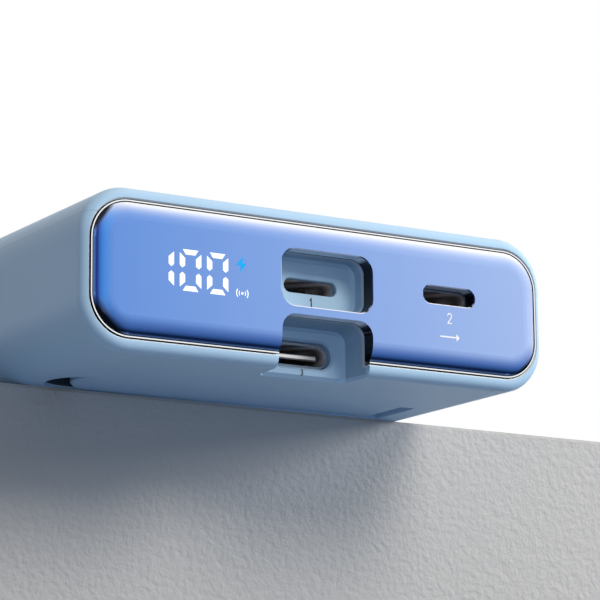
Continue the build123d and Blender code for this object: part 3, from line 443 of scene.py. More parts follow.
def coated_acrylic(colours):
    """Clear acrylic over a metallised blue film, polished.

    The hard clear face gives a sharp gloss, and the film under it a deep blue that pales
    towards the side socket. The rounded border carries painted reflections and painted
    shade as bright and dark bands. The cut walls of the windows carry painted shade, near
    black, with a paler painted highlight where they face down.
    """
    material, tree, place, normal = start_material("coated_acrylic_polished")
    spot = add_node(tree, "ShaderNodeSeparateXYZ", {"Vector": place}).outputs
    across = add_node(tree, "ShaderNodeMapRange", {
        "Value": spot["X"], "From Min": PLATE_LOW.x, "From Max": PLATE_HIGH.x})
    colour = add_node(tree, "ShaderNodeMix", {
        "Factor": across.outputs["Result"],
        "A": (*colours.plate_left, 1.0), "B": (*colours.plate_right, 1.0)},
        data_type="RGBA").outputs["Result"]
    # The border's tilt, read from the surface itself, paints reflections and shade over the film as
    # bright and dark bands.
    sideways = add_node(tree, "ShaderNodeVectorMath", {
        0: normal, 1: (1, 0, 1)}, operation="MULTIPLY").outputs["Vector"]
    tilt = add_node(tree, "ShaderNodeVectorMath", {0: sideways}, operation="LENGTH")
    heading = add_node(tree, "ShaderNodeVectorMath", {0: sideways}, operation="NORMALIZE")
    for direction, (far, near), stops in PAINTED_BORDER_REFLECTIONS:
        match = add_node(tree, "ShaderNodeVectorMath", {
            0: heading.outputs["Vector"], 1: direction}, operation="DOT_PRODUCT")
        share = add_node(tree, "ShaderNodeMapRange", {
            "Value": match.outputs["Value"], "From Min": far, "From Max": near})
        lean = add_node(tree, "ShaderNodeMath", {
            0: tilt.outputs["Value"], 1: share.outputs["Result"]}, operation="MULTIPLY")
        band = add_node(tree, "ShaderNodeValToRGB", {"Fac": lean.outputs["Value"]})
        set_ramp(band, stops)
        colour = add_node(tree, "ShaderNodeMix", {
            "Factor": band.outputs["Alpha"], "A": colour, "B": band.outputs["Color"]},
            data_type="RGBA").outputs["Result"]
    # Cut walls, painted light and shade: grey-blue up to a pale painted highlight where they face
    # down, and near black painted shade elsewhere and at the rear edge.
    facing = add_node(tree, "ShaderNodeSeparateXYZ", {"Vector": normal}).outputs
    down = add_node(tree, "ShaderNodeMath", {0: facing["Z"], 1: -1.0}, operation="MULTIPLY")
    roof = add_node(tree, "ShaderNodeValToRGB", {"Fac": down.outputs["Value"]})
    set_ramp(roof, PAINTED_WALL_LIGHT_AND_SHADE)
    wall = roof.outputs["Color"]
    # Painted shade: the walls' strip at the rear edge and the walls along the plate's bottom edge
    # are near black.
    rear_edge = 0.14 * MM
    margin = Vector((0.4 * MM, 10 * MM, 0.4 * MM))
    for low, high in (
        (Vector((PLATE_LOW.x, PLATE_HIGH.y - rear_edge, PLATE_LOW.z)), PLATE_HIGH + margin),
        (PLATE_LOW - margin, Vector((PLATE_HIGH.x, PLATE_HIGH.y, PLATE_LOW.z)) + margin),
    ):
        wall = add_node(tree, "ShaderNodeMix", {
            "Factor": in_box(tree, place, low, high), "A": wall, "B": rgba("05070B")},
            data_type="RGBA").outputs["Result"]
    colour = add_node(tree, "ShaderNodeMix", {
        "Factor": side_on(tree, normal, 0.35), "A": colour, "B": wall},
        data_type="RGBA").outputs["Result"]
    shader = add_node(tree, "ShaderNodeBsdfPrincipled", {
        "Base Color": colour, "Roughness": 0.12, "IOR": 1.49, "Specular IOR Level": 0.25})
    return finish_material(material, shader)


def plated_trim():
    """ABS with bright nickel plating on its face: a hard white line that mirrors its surroundings.

    The plating covers the face. The sides are near black and not metallic, as a painted shadow of
    the gaps on either side of the ring.
    """
    material, tree, place, normal = start_material("bright_nickel_plating")
    wave = add_node(tree, "ShaderNodeTexNoise", {"Vector": place, "Scale": 1 / (3 * MM)})
    gloss = add_node(tree, "ShaderNodeMapRange", {
        "Value": wave.outputs["Fac"], "To Min": 0.08, "To Max": 0.16})
    # The sides are painted near black: painted shadow of the gaps round the ring.
    bare = side_on(tree, normal, 0.5)
    tint = add_node(tree, "ShaderNodeMix", {
        "Factor": bare, "A": rgba("F6F8FA"), "B": rgba("0B0C0F")}, data_type="RGBA")
    plated = add_node(tree, "ShaderNodeMath", {0: 1.0, 1: bare}, operation="SUBTRACT")
    shader = add_node(tree, "ShaderNodeBsdfPrincipled", {
        "Base Color": tint.outputs["Result"], "Metallic": plated.outputs["Value"],
        "Roughness": gloss.outputs["Result"]})
    return finish_material(material, shader)


def dark_plated_steel():
    """Deep-drawn steel shell with dark nickel plating.

    Soft slanting bands cross it, as the draw's streaks and also as painted reflections, and the
    plating shows brown-grey between them.
    The sheared rim in front is bare and blue-grey.
    """
    material, tree, place, normal = start_material("dark_plated_steel")
    spacing = 5 * MM                    # of the bands across the socket
    bands = add_node(tree, "ShaderNodeTexWave", {
        "Vector": place, "Scale": 2 * math.pi / (10 * spacing),
        "Distortion": 2.5, "Detail": 2.0, "Detail Scale": 0.6},
        wave_type="BANDS", bands_direction="DIAGONAL")
    # The light bands are painted reflections as well as the draw's streaks.
    tint = add_node(tree, "ShaderNodeMix", {
        "Factor": bands.outputs["Fac"], "A": rgba("8A7F82"), "B": rgba("FFFAFA")},
        data_type="RGBA")
    inside = side_on(tree, normal, 0.5)
    tint = add_node(tree, "ShaderNodeMix", {
        "Factor": inside, "A": rgba("7F8FA2"), "B": tint.outputs["Result"]}, data_type="RGBA")
    gloss = add_node(tree, "ShaderNodeMapRange", {
        "Value": bands.outputs["Fac"], "To Min": 0.34, "To Max": 0.46})
    shader = add_node(tree, "ShaderNodeBsdfPrincipled", {
        "Base Color": tint.outputs["Result"], "Metallic": 0.45,
        "Roughness": gloss.outputs["Result"]})
    return finish_material(material, shader)


def nylon_tint(tree, place):
    """Colour of black glass-filled nylon, with flow marks about 0.4 mm across."""
    flow = add_node(tree, "ShaderNodeTexNoise", {
        "Vector": place, "Scale": 1 / (0.4 * MM), "Detail": 4.0})
    return add_node(tree, "ShaderNodeMix", {
        "Factor": flow.outputs["Fac"], "A": rgba("131316"), "B": rgba("232327")},
        data_type="RGBA").outputs["Result"]


def steel_cored_tongue():
    """Black nylon moulded round a steel plate, which shows bright along the tip."""
    material, tree, place, _ = start_material("moulded_nylon_steel_core")
    reach = Vector((0, 0.3 * MM, 0))
    tip = in_box(tree, place, TONGUE_LOW - reach,
                 Vector((TONGUE_HIGH.x, TONGUE_LOW.y, TONGUE_HIGH.z)) + reach)
    bright = add_node(tree, "ShaderNodeMix", {
        "Factor": tip, "A": nylon_tint(tree, place), "B": rgba("F2F1EF")}, data_type="RGBA")
    shader = add_node(tree, "ShaderNodeBsdfPrincipled", {
        "Base Color": bright.outputs["Result"], "Metallic": tip, "Roughness": 0.3})
    return finish_material(material, shader)


def moulded_black():
    """Black glass-filled nylon of the socket insulators: dull, with fine flow marks."""
    material, tree, place, _ = start_material("moulded_nylon_black")
    shader = add_node(tree, "ShaderNodeBsdfPrincipled", {
        "Base Color": nylon_tint(tree, place), "Roughness": 0.45, "IOR": 1.53})
    return finish_material(material, shader)


def lit_diffuser(name, colour, strength):
    """Backlit white diffuser: an even glow that hides the lamp behind it."""
    material, tree, place, _ = start_material(name)
    haze = add_node(tree, "ShaderNodeTexNoise", {"Vector": place, "Scale": 1 / (1.0 * MM)})
    glow = add_node(tree, "ShaderNodeMapRange", {
        "Value": haze.outputs["Fac"], "To Min": 0.97 * strength, "To Max": 1.03 * strength})
    shader = add_node(tree, "ShaderNodeBsdfPrincipled", {
        "Base Color": (*[c * 0.3 for c in colour], 1.0),
        "Roughness": 0.3, "Specular IOR Level": 0.1,
        "Emission Color": (*colour, 1.0), "Emission Strength": glow.outputs["Result"]})
    return finish_material(material, shader)


def printed_ink(name, hex_colour):
    """Pad-printed ink: flat, slightly uneven in cover."""
    material, tree, place, _ = start_material(name)
    cover = add_node(tree, "ShaderNodeTexNoise", {"Vector": place, "Scale": 1 / (0.15 * MM)})
    gloss = add_node(tree, "ShaderNodeMapRange", {
        "Value": cover.outputs["Fac"], "To Min": 0.42, "To Max": 0.6})
    shader = add_node(tree, "ShaderNodeBsdfPrincipled", {
        "Base Color": rgba(hex_colour), "Roughness": gloss.outputs["Result"], "IOR": 1.5})
    return finish_material(material, shader)


def speckled(name, dark, light, grain, roughness, metallic):
    """A plain inner finish: two close tones that change over its own grain size."""
    material, tree, place, _ = start_material(name)
    pattern = add_node(tree, "ShaderNodeTexNoise", {
        "Vector": place, "Scale": 1 / grain, "Detail": 3.0})
    tint = add_node(tree, "ShaderNodeMix", {
        "Factor": pattern.outputs["Fac"], "A": rgba(dark), "B": rgba(light)}, data_type="RGBA")
    relief = add_node(tree, "ShaderNodeBump", {
        "Height": pattern.outputs["Fac"], "Strength": 0.2, "Distance": grain / 10})
    shader = add_node(tree, "ShaderNodeBsdfPrincipled", {
        "Base Color": tint.outputs["Result"], "Roughness": roughness, "Metallic": metallic,
        "Normal": relief.outputs["Normal"]})
    return finish_material(material, shader)


def wound_copper():
    """Enamelled litz wire in flat turns: copper rings with dark gaps between them."""
    material, tree, place, _ = start_material("enamelled_copper_wound")
    middle = (COIL_LOW + COIL_HIGH) / 2
    spacing = 1.8 * MM                  # of the turns
    centred = add_node(tree, "ShaderNodeMapping", {"Vector": place, "Location": -middle})
    turns = add_node(tree, "ShaderNodeTexWave", {
        "Vector": centred.outputs["Vector"], "Scale": 2 * math.pi / (20 * spacing)},
        wave_type="RINGS", rings_direction="Z")
    tint = add_node(tree, "ShaderNodeMix", {
        "Factor": turns.outputs["Fac"], "A": rgba("5A2E1C"), "B": rgba("C77B4E")},
        data_type="RGBA")
    relief = add_node(tree, "ShaderNodeBump", {
        "Height": turns.outputs["Fac"], "Strength": 0.6, "Distance": 0.2 * MM})
    shader = add_node(tree, "ShaderNodeBsdfPrincipled", {
        "Base Color": tint.outputs["Result"], "Metallic": 1.0, "Roughness": 0.32,
        "Normal": relief.outputs["Normal"]})
    return finish_material(material, shader)


def painted_plaster():
    """Rolled paint on plaster: matt, with a fine roller texture about 0.9 mm across."""
    material, tree, place, _ = start_material("painted_plaster")
    roller = add_node(tree, "ShaderNodeTexNoise", {
        "Vector": place, "Scale": 1 / (0.9 * MM), "Detail": 4.0})
    relief = add_node(tree, "ShaderNodeBump", {
        "Height": roller.outputs["Fac"], "Strength": 0.5, "Distance": 0.5 * MM})
    shader = add_node(tree, "ShaderNodeBsdfPrincipled", {
        "Base Color": rgba("BABAB9"), "Roughness": 0.85, "Normal": relief.outputs["Normal"]})
    return finish_material(material, shader)


# ---------------------------------------------------------------- stage
def add_camera(scene, studio):
    """A camera that looks up at the front from the left."""
    turn, tilt, roll = studio.camera_angles
    camera = bpy.data.objects.new("studio_camera", bpy.data.cameras.new("studio_camera"))
    scene.collection.objects.link(camera)
    camera.data.lens = studio.lens
    camera.data.clip_start = 10 * MM
    level = Matrix.Rotation(math.pi / 2, 4, "X")
    aim = Matrix.Rotation(-turn, 4, "Z") @ Matrix.Rotation(tilt, 4, "X")
    camera.matrix_world = (
        Matrix.Translation(studio.camera_place) @ aim @ level @ Matrix.Rotation(roll, 4, "Z"))
    scene.camera = camera


def add_surroundings(scene, studio):
    """Soft ambient light, with white surroundings where the camera and clear pieces look."""
    world = bpy.data.worlds.new("studio_world")
    world.use_nodes = True
    tree = world.node_tree
    tree.nodes.clear()
    direction = add_node(tree, "ShaderNodeTexCoord").outputs["Generated"]
    height = add_node(tree, "ShaderNodeSeparateXYZ", {"Vector": direction}).outputs["Z"]
    # Bluer light from below, neutral light from above.
    rise = add_node(tree, "ShaderNodeMapRange", {
        "Value": height, "From Min": -0.5, "From Max": 0.9})
    sky = add_node(tree, "ShaderNodeMix", {
        "Factor": rise.outputs["Result"], "A": rgba("9CC2F4"), "B": rgba("F2F2F2")},
        data_type="RGBA")
    ambient = add_node(tree, "ShaderNodeBackground", {
        "Color": sky.outputs["Result"], "Strength": studio.ambient})
    white = add_node(tree, "ShaderNodeBackground", {"Color": (1, 1, 1, 1), "Strength": 1.0})
    rays = add_node(tree, "ShaderNodeLightPath").outputs
    # Gloss shows the white surroundings above the plinth and a dim studio below it.
    above = add_node(tree, "ShaderNodeMapRange", {
        "Value": height, "From Min": -0.10, "From Max": 0.10})
    glossy = add_node(tree, "ShaderNodeMath", {
        0: rays["Is Glossy Ray"], 1: above.outputs["Result"]}, operation="MULTIPLY")
    clear = add_node(tree, "ShaderNodeMath", {
        0: rays["Is Camera Ray"], 1: rays["Is Transmission Ray"]}, operation="ADD")
    shown = add_node(tree, "ShaderNodeMath", {
        0: clear.outputs["Value"], 1: glossy.outputs["Value"]}, operation="ADD", use_clamp=True)
    surface = add_node(tree, "ShaderNodeMixShader", {
        0: shown.outputs["Value"], 1: ambient.outputs[0], 2: white.outputs[0]})
    add_node(tree, "ShaderNodeOutputWorld", {"Surface": surface.outputs[0]})
    scene.world = world


def add_lamps(scene, studio):
    """Soft square lamps that aim at the part's middle."""
    middle = (CAD_BOX[0] + CAD_BOX[1]) / 2
    neutral, warm = (1.0, 1.0, 1.0), (1.0, 0.925, 0.83)
    # Name, power, side in metres, colour, whether gloss mirrors it, and place in metres.
    for name, power, size, colour, mirrored, place in (
        ("key_lamp", studio.key_power, 0.35, warm, False, (0.20, -0.68, 0.52)),
        ("fill_lamp", studio.fill_power, 0.40, neutral, True, (-0.28, -0.78, -0.14)),
        ("side_lamp", studio.side_power, 0.12, neutral, False, (0.38, -0.20, 0.12)),
    ):
        lamp = bpy.data.lights.new(name, "AREA")
        lamp.size = size
        lamp.energy = power
        lamp.color = colour
        holder = bpy.data.objects.new(name, lamp)
        holder.visible_glossy = mirrored
        scene.collection.objects.link(holder)
        aim = (middle - Vector(place)).to_track_quat("-Z", "Y").to_matrix().to_4x4()
        holder.matrix_world = Matrix.Translation(place) @ aim


def add_plinth(scene, studio):
    """A pale plinth that the power bank lies on, its front overhanging."""
    width, depth, height = 3.0, 2.0, 0.6
    mesh = bpy.data.meshes.new("plinth")
    block = bmesh.new()
    bmesh.ops.create_cube(block, size=1.0)
    bmesh.ops.scale(block, verts=block.verts, vec=(width, depth, height))
    bmesh.ops.translate(block, verts=block.verts, vec=(0, depth / 2, -height / 2))
    bmesh.ops.bevel(block, geom=block.edges[:], offset=0.4 * MM, segments=2, affect="EDGES")
    block.transform(
        Matrix.Translation((0, studio.plinth_edge, 0))
        @ Matrix.Rotation(studio.plinth_turn, 4, "Z"))
    block.to_mesh(mesh)
    block.free()
    mesh.materials.append(painted_plaster())
    plinth = bpy.data.objects.new("plinth", mesh)
    scene.collection.objects.link(plinth)


# ---------------------------------------------------------------- operators
class PowerBankOperator(bpy.types.Operator):
    """Shared by the steps below: each can be undone."""

    bl_options = {"REGISTER", "UNDO"}


class POWERBANK_OT_stage(PowerBankOperator):
    """Make the camera, the white surroundings, the soft lamps and the plinth"""

    bl_idname = "power_bank.stage"
    bl_label = "Stage"

    def execute(self, context):
        for make in (add_camera, add_surroundings, add_lamps, add_plinth):
            make(context.scene, context.scene.power_bank_studio)
        return {"FINISHED"}


class POWERBANK_OT_shells(PowerBankOperator):
    """Give both shells, the button and the stand their satin plastic"""

    bl_idname = "power_bank.shells"
    bl_label = "Shells"

    def execute(self, context):
        colours = context.scene.power_bank_colours
        # The shells carry the seam's dark line and painted light: a painted highlight on the lip,
        # and painted shade round the plate, in the recesses and in the pocket.
        with_seam_and_painted_light = moulded_polycarbonate(colours, "moulded_polycarbonate_seam_and_painted_light", True)
        bare = moulded_polycarbonate(colours, "moulded_polycarbonate_satin", False)
        paint(with_seam_and_painted_light, "main_housing", "top_cover")
        paint(bare, "stand_leg", "power_button")
        return {"FINISHED"}


class POWERBANK_OT_front_plate(PowerBankOperator):
    """Give the front plate its film and its plated ring"""

    bl_idname = "power_bank.front_plate"
    bl_label = "Front plate"

    def execute(self, context):
        paint(coated_acrylic(context.scene.power_bank_colours), "fascia")
        paint(plated_trim(), "fascia_trim_ring")
        return {"FINISHED"}


class POWERBANK_OT_sockets(PowerBankOperator):
    """Give the three sockets their metal and their insulators"""

    bl_idname = "power_bank.sockets"
    bl_label = "Sockets"

    def execute(self, context):
        steel = dark_plated_steel()
        paint(steel, "upper_socket_shell", "side_socket_shell")
        # The lower shell's mouth lies deeper, so the moulded hole shows round it.
        rim_band, set_back = 0.1 * MM, 0.6 * MM
        mouth = bmesh.new()
        mouth.from_mesh(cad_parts["usb_c_shell"].data)
        bmesh.ops.remove_doubles(mouth, verts=mouth.verts, dist=WELD)
        rim = [vert for vert in mouth.verts if vert.co.y < USB_LOW.y + rim_band]
        bmesh.ops.translate(mouth, verts=rim, vec=(0, set_back, 0))
        mesh = bpy.data.meshes.new("lower_socket_shell")
        mouth.to_mesh(mesh)
        mouth.free()
        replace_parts(add_piece("lower_socket_shell", mesh, steel), "usb_c_shell")
        paint(moulded_black(), "upper_socket_insulator", "side_socket_insulator")
        paint(steel_cored_tongue(), "usb_c_tongue")
        return {"FINISHED"}


def digit_quarter(display):
    """Outlines of the upper right quarter of a zero: the upright bar and half the level bar."""
    half_width = display.digit_width / 2
    half_height = display.digit_height / 2
    stroke = display.stroke
    inner = half_width - stroke
    middle = half_width - stroke / 2
    # The upright bar ends in a point near the middle and in a slant at the top.
    point = 0.27 * MM
    shoulder = point + 0.30 * MM
    outer_end = half_height - 0.46 * MM
    inner_end = half_height - 1.10 * MM
    upright = [(half_width, shoulder), (half_width, outer_end),
               (inner, inner_end), (inner, shoulder), (middle, point)]
    # The level bar is a little thinner, and wider at the top than below.
    under = half_height - 0.86 * stroke
    level = [(0, half_height), (0, under), (inner - 0.10 * MM, under),
             (inner + 0.32 * MM, half_height)]
    return upright, level


def digits_tree():
    """Node tree that mirrors a quarter digit into zeros in a row, with a leading one."""
    tree = bpy.data.node_groups.new("display_digits", "GeometryNodeTree")
    for name, kind, direction in (
        ("Quarter", "NodeSocketGeometry", "INPUT"), ("Full Digits", "NodeSocketInt", "INPUT"),
        ("Pitch", "NodeSocketFloat", "INPUT"), ("First Digit", "NodeSocketVector", "INPUT"),
        ("Depth", "NodeSocketFloat", "INPUT"), ("Material", "NodeSocketMaterial", "INPUT"),
        ("Digits", "NodeSocketGeometry", "OUTPUT"),
    ):
        tree.interface.new_socket(name, in_out=direction, socket_type=kind)
    given = add_node(tree, "NodeGroupInput").outputs
    right = given["Quarter"]
    left = add_node(tree, "GeometryNodeTransform", {"Geometry": right, "Scale": (-1, 1, 1)})
    upper = add_node(tree, "GeometryNodeJoinGeometry", {
        "Geometry": [right, left.outputs["Geometry"]]}).outputs["Geometry"]
    lower = add_node(tree, "GeometryNodeTransform", {"Geometry": upper, "Scale": (1, 1, -1)})
    zero = add_node(tree, "GeometryNodeJoinGeometry", {
        "Geometry": [upper, lower.outputs["Geometry"]]})
    step = add_node(tree, "ShaderNodeCombineXYZ", {"X": given["Pitch"]}).outputs[0]
    second = add_node(tree, "ShaderNodeVectorMath", {0: given["First Digit"], 1: step})
    row = add_node(tree, "GeometryNodeMeshLine", {
        "Count": given["Full Digits"], "Start Location": second.outputs[0], "Offset": step},
        mode="OFFSET")
    zeros = add_node(tree, "GeometryNodeInstanceOnPoints", {
        "Points": row.outputs["Mesh"], "Instance": zero.outputs["Geometry"]})
    # The leading one is the upright bar alone, above and below the middle.
    is_upright = add_node(tree, "GeometryNodeInputNamedAttribute", {
        "Name": "upright"}, data_type="BOOLEAN")
    bar = add_node(tree, "GeometryNodeSeparateGeometry", {
        "Geometry": right, "Selection": is_upright.outputs["Attribute"]},
        domain="FACE").outputs["Selection"]
    bar_below = add_node(tree, "GeometryNodeTransform", {"Geometry": bar, "Scale": (1, 1, -1)})
    one = add_node(tree, "GeometryNodeJoinGeometry", {
        "Geometry": [bar, bar_below.outputs["Geometry"]]})
    one_placed = add_node(tree, "GeometryNodeTransform", {
        "Geometry": one.outputs["Geometry"], "Translation": given["First Digit"]})
    figures = add_node(tree, "GeometryNodeJoinGeometry", {
        "Geometry": [zeros.outputs["Instances"], one_placed.outputs["Geometry"]]})
    real = add_node(tree, "GeometryNodeRealizeInstances", {
        "Geometry": figures.outputs["Geometry"]})
    # Mirrored bars face the rear, so they are turned before the bars get their depth.
    normal = add_node(tree, "GeometryNodeInputNormal").outputs["Normal"]
    facing = add_node(tree, "ShaderNodeSeparateXYZ", {"Vector": normal}).outputs
    backwards = add_node(tree, "FunctionNodeCompare", {
        0: facing["Y"], 1: 0.0}, operation="GREATER_THAN")
    turned = add_node(tree, "GeometryNodeFlipFaces", {
        "Mesh": real.outputs["Geometry"], "Selection": backwards.outputs["Result"]})
    whole = add_node(tree, "GeometryNodeMergeByDistance", {
        "Geometry": turned.outputs["Mesh"], "Distance": WELD}).outputs["Geometry"]
    forward = add_node(tree, "ShaderNodeCombineXYZ", {"Y": -1.0})
    front = add_node(tree, "GeometryNodeExtrudeMesh", {
        "Mesh": whole, "Offset": forward.outputs[0], "Offset Scale": given["Depth"],
        "Individual": False})
    back = add_node(tree, "GeometryNodeFlipFaces", {"Mesh": whole})
    closed = add_node(tree, "GeometryNodeJoinGeometry", {
        "Geometry": [front.outputs["Mesh"], back.outputs["Mesh"]]})
    solid = add_node(tree, "GeometryNodeMergeByDistance", {
        "Geometry": closed.outputs["Geometry"], "Distance": WELD})
    done = add_node(tree, "GeometryNodeRealizeInstances", {
        "Geometry": solid.outputs["Geometry"]})
    dressed = add_node(tree, "GeometryNodeSetMaterial", {
        "Geometry": done.outputs["Geometry"], "Material": given["Material"]})
    add_node(tree, "NodeGroupOutput", {"Digits": dressed.outputs["Geometry"]})
    return tree


class POWERBANK_OT_digits(PowerBankOperator):
    """Make the lit charge figure"""

    bl_idname = "power_bank.digits"
    bl_label = "Digits"

    def execute(self, context):
        display = context.scene.power_bank_display
        colours = context.scene.power_bank_colours
        lit = lit_diffuser("lit_diffuser_white", colours.lit_sign, 1.0)
        quarter = bpy.data.meshes.new("digit_quarter")
        shapes = bmesh.new()
        upright_mark = shapes.faces.layers.bool.new("upright")
        for is_upright, outline in zip((True, False), digit_quarter(display)):
            face = shapes.faces.new([shapes.verts.new((x, 0, z)) for x, z in outline])
            face[upright_mark] = is_upright
        shapes.to_mesh(quarter)
        shapes.free()
        maker = bpy.data.objects.new("digit_quarter", quarter)
        context.scene.collection.objects.link(maker)
        modifier = maker.modifiers.new("display_digits", "NODES")
        modifier.node_group = digits_tree()
        first_x = display.last_digit[0] - display.zero_count * display.digit_pitch
        values = {
            "Full Digits": display.zero_count, "Pitch": display.digit_pitch,
            "First Digit": (first_x, PLATE_LOW.y, display.last_digit[1]),
            "Depth": display.film, "Material": lit,
        }
        for item in modifier.node_group.interface.items_tree:
            if item.name in values:
                modifier[item.identifier] = values[item.name]
        graph = context.evaluated_depsgraph_get()
        mesh = bpy.data.meshes.new_from_object(maker.evaluated_get(graph))
        mesh.name = "lit_digits"
        bpy.data.objects.remove(maker)
        if not mesh.polygons:
            raise RuntimeError("the digit tree made no faces")
        add_piece("lit_digits", mesh, lit)
        return {"FINISHED"}


def arc_band(centre, radius, width, middle_angle, spread, steps=10):
    """Outline of a curved bar round a centre, as (x, z) points."""
    angles = [middle_angle + spread * (i / steps - 0.5) for i in range(steps + 1)]
    x, z = centre
    outer, inner = radius + width / 2, radius - width / 2
    return ([(x + outer * math.cos(a), z + outer * math.sin(a)) for a in angles]
            + [(x + inner * math.cos(a), z + inner * math.sin(a)) for a in reversed(angles)])


# The charging sign's corners, as shares of its half width and half height.
BOLT_CORNERS = (
    (0.30, 1.0), (0.16, 0.13), (1.0, 0.13), (-0.22, -1.0), (-0.14, -0.17), (-1.0, -0.17))


class POWERBANK_OT_signs(PowerBankOperator):
    """Make the lit charging and wireless signs beside the figure"""

    bl_idname = "power_bank.signs"
    bl_label = "Signs"

    def execute(self, context):
        display = context.scene.power_bank_display
        colours = context.scene.power_bank_colours
        front_y = PLATE_LOW.y - display.film
        bolt_x, bolt_z = display.bolt_place
        half_width, half_height = 0.75 * MM, 1.0 * MM
        bolt = [(bolt_x + across * half_width, bolt_z + up * half_height)
                for across, up in BOLT_CORNERS]
        mesh = flat_shapes("charging_sign", [bolt], front_y, display.film)
        blue = lit_diffuser("lit_diffuser_blue", colours.bolt, 0.9)
        add_piece("charging_sign", mesh, blue)

        # A dot between two pairs of arcs.
        centre = tuple(display.waves_place)
        dot_radius, dot_sides = 0.16 * MM, 16
        dot = arc_band(centre, dot_radius / 2, dot_radius, 0, 2 * math.pi, steps=dot_sides)
        bands = [dot[:dot_sides]]
        for radius, width in ((0.46 * MM, 0.10 * MM), (0.82 * MM, 0.12 * MM)):
            bands += [arc_band(centre, radius, width, side, math.radians(74))
                      for side in (0, math.pi)]
        mesh = flat_shapes("wireless_sign", bands, front_y, display.film)
        white = bpy.data.materials["lit_diffuser_white"]
        add_piece("wireless_sign", mesh, white)
        return {"FINISHED"}


# Plain numerals as strokes on a grid three wide and six high.
NUMERALS = {
    "1": (((0.9, 4.6), (2.0, 6.0), (2.0, 0.0)),),
    "2": (((0.1, 4.6), (0.4, 5.5), (1.5, 6.0), (2.6, 5.5), (2.9, 4.5), (2.5, 3.4),
           (0.1, 0.0), (3.0, 0.0)),),
    "3": (((0.2, 5.3), (0.8, 5.85), (1.6, 6.0), (2.5, 5.6), (2.8, 4.6), (2.4, 3.6), (1.3, 3.2),
           (2.5, 2.8), (3.0, 1.6), (2.5, 0.4), (1.5, 0.0), (0.7, 0.15), (0.1, 0.7)),),
}


def number_mesh(name, text, height, weight, centre_x, top_z, front_y, film):
    """Mesh of a plain number that faces the front, centred on an x and hanging from a z.

    The weight is the stroke's width on the numerals' grid.
    """
    unit = height / 6
    half = weight * unit / 2
    outlines = []
    for stroke in NUMERALS[text]:
        points = [Vector((centre_x + (x - 1.5) * unit, top_z + (z - 6) * unit)) for x, z in stroke]
        left, right = [], []
        for i, point in enumerate(points):
            before = (point - points[max(i - 1, 0)]).normalized()
            after = (points[min(i + 1, len(points) - 1)] - point).normalized()
            along = (before + after).normalized()
            # A mitre at each bend, cut short where the bend is sharp.
            mitre = max(0.5, along.dot(after if after.length else before))
            across = Vector((-along.y, along.x)) * half / mitre
            left.append(point + across)
            right.append(point - across)
        outlines += [[left[i], left[i + 1], right[i + 1], right[i]] for i in range(len(points) - 1)]
    return flat_shapes(name, outlines, front_y - film, film)


class POWERBANK_OT_marks(PowerBankOperator):
    """Print a plain number at each socket and an input arrow under the side socket"""

    bl_idname = "power_bank.marks"
    bl_label = "Port marks"

    def execute(self, context):
        marks = context.scene.power_bank_marks
        film = context.scene.power_bank_display.film
        white = printed_ink("printed_ink_white", "FFFFFF")
        dark = printed_ink("printed_ink_dark", "0A121E")
        side_x = (SIDE_SOCKET_LOW.x + SIDE_SOCKET_HIGH.x) / 2
        usb_x = (USB_LOW.x + USB_HIGH.x) / 2
        face_y = PLATE_LOW.y
        upper_y, lower_y = face_y + marks.upper_wall_depth, face_y + marks.lower_wall_depth
        # Name, figure, height, stroke weight, place across and in depth, ink and slot.
        rows = (
            ("upper_socket_number", "1", marks.upper_number_height, 1.0, usb_x, upper_y, dark,
             "insulator"),
            ("side_socket_number", "2", marks.plate_number_height, 0.68, side_x, face_y, white,
             "light_parts"),
            ("lower_socket_number", "3", marks.lower_number_height, 1.1, usb_x, lower_y, dark,
             "insulator"),
        )
        for (name, text, height, weight, x, y, ink, slot), top_z in zip(rows, marks.number_tops):
            add_piece(name, number_mesh(name, text, height, weight, x, top_z, y, film), ink)
        half_line, half_head = 0.09 * MM, 0.5 * MM
        tail_x, tip_x = side_x - marks.arrow_width / 2, side_x + marks.arrow_width / 2
        neck_x, z = tip_x - half_head, marks.arrow_place
        arrow = [(tail_x, z - half_line), (neck_x, z - half_line), (neck_x, z - half_head),
                 (tip_x, z), (neck_x, z + half_head), (neck_x, z + half_line),
                 (tail_x, z + half_line)]
        mesh = flat_shapes("input_arrow", [arrow], face_y - film, film)
        add_piece("input_arrow", mesh, white)
        return {"FINISHED"}


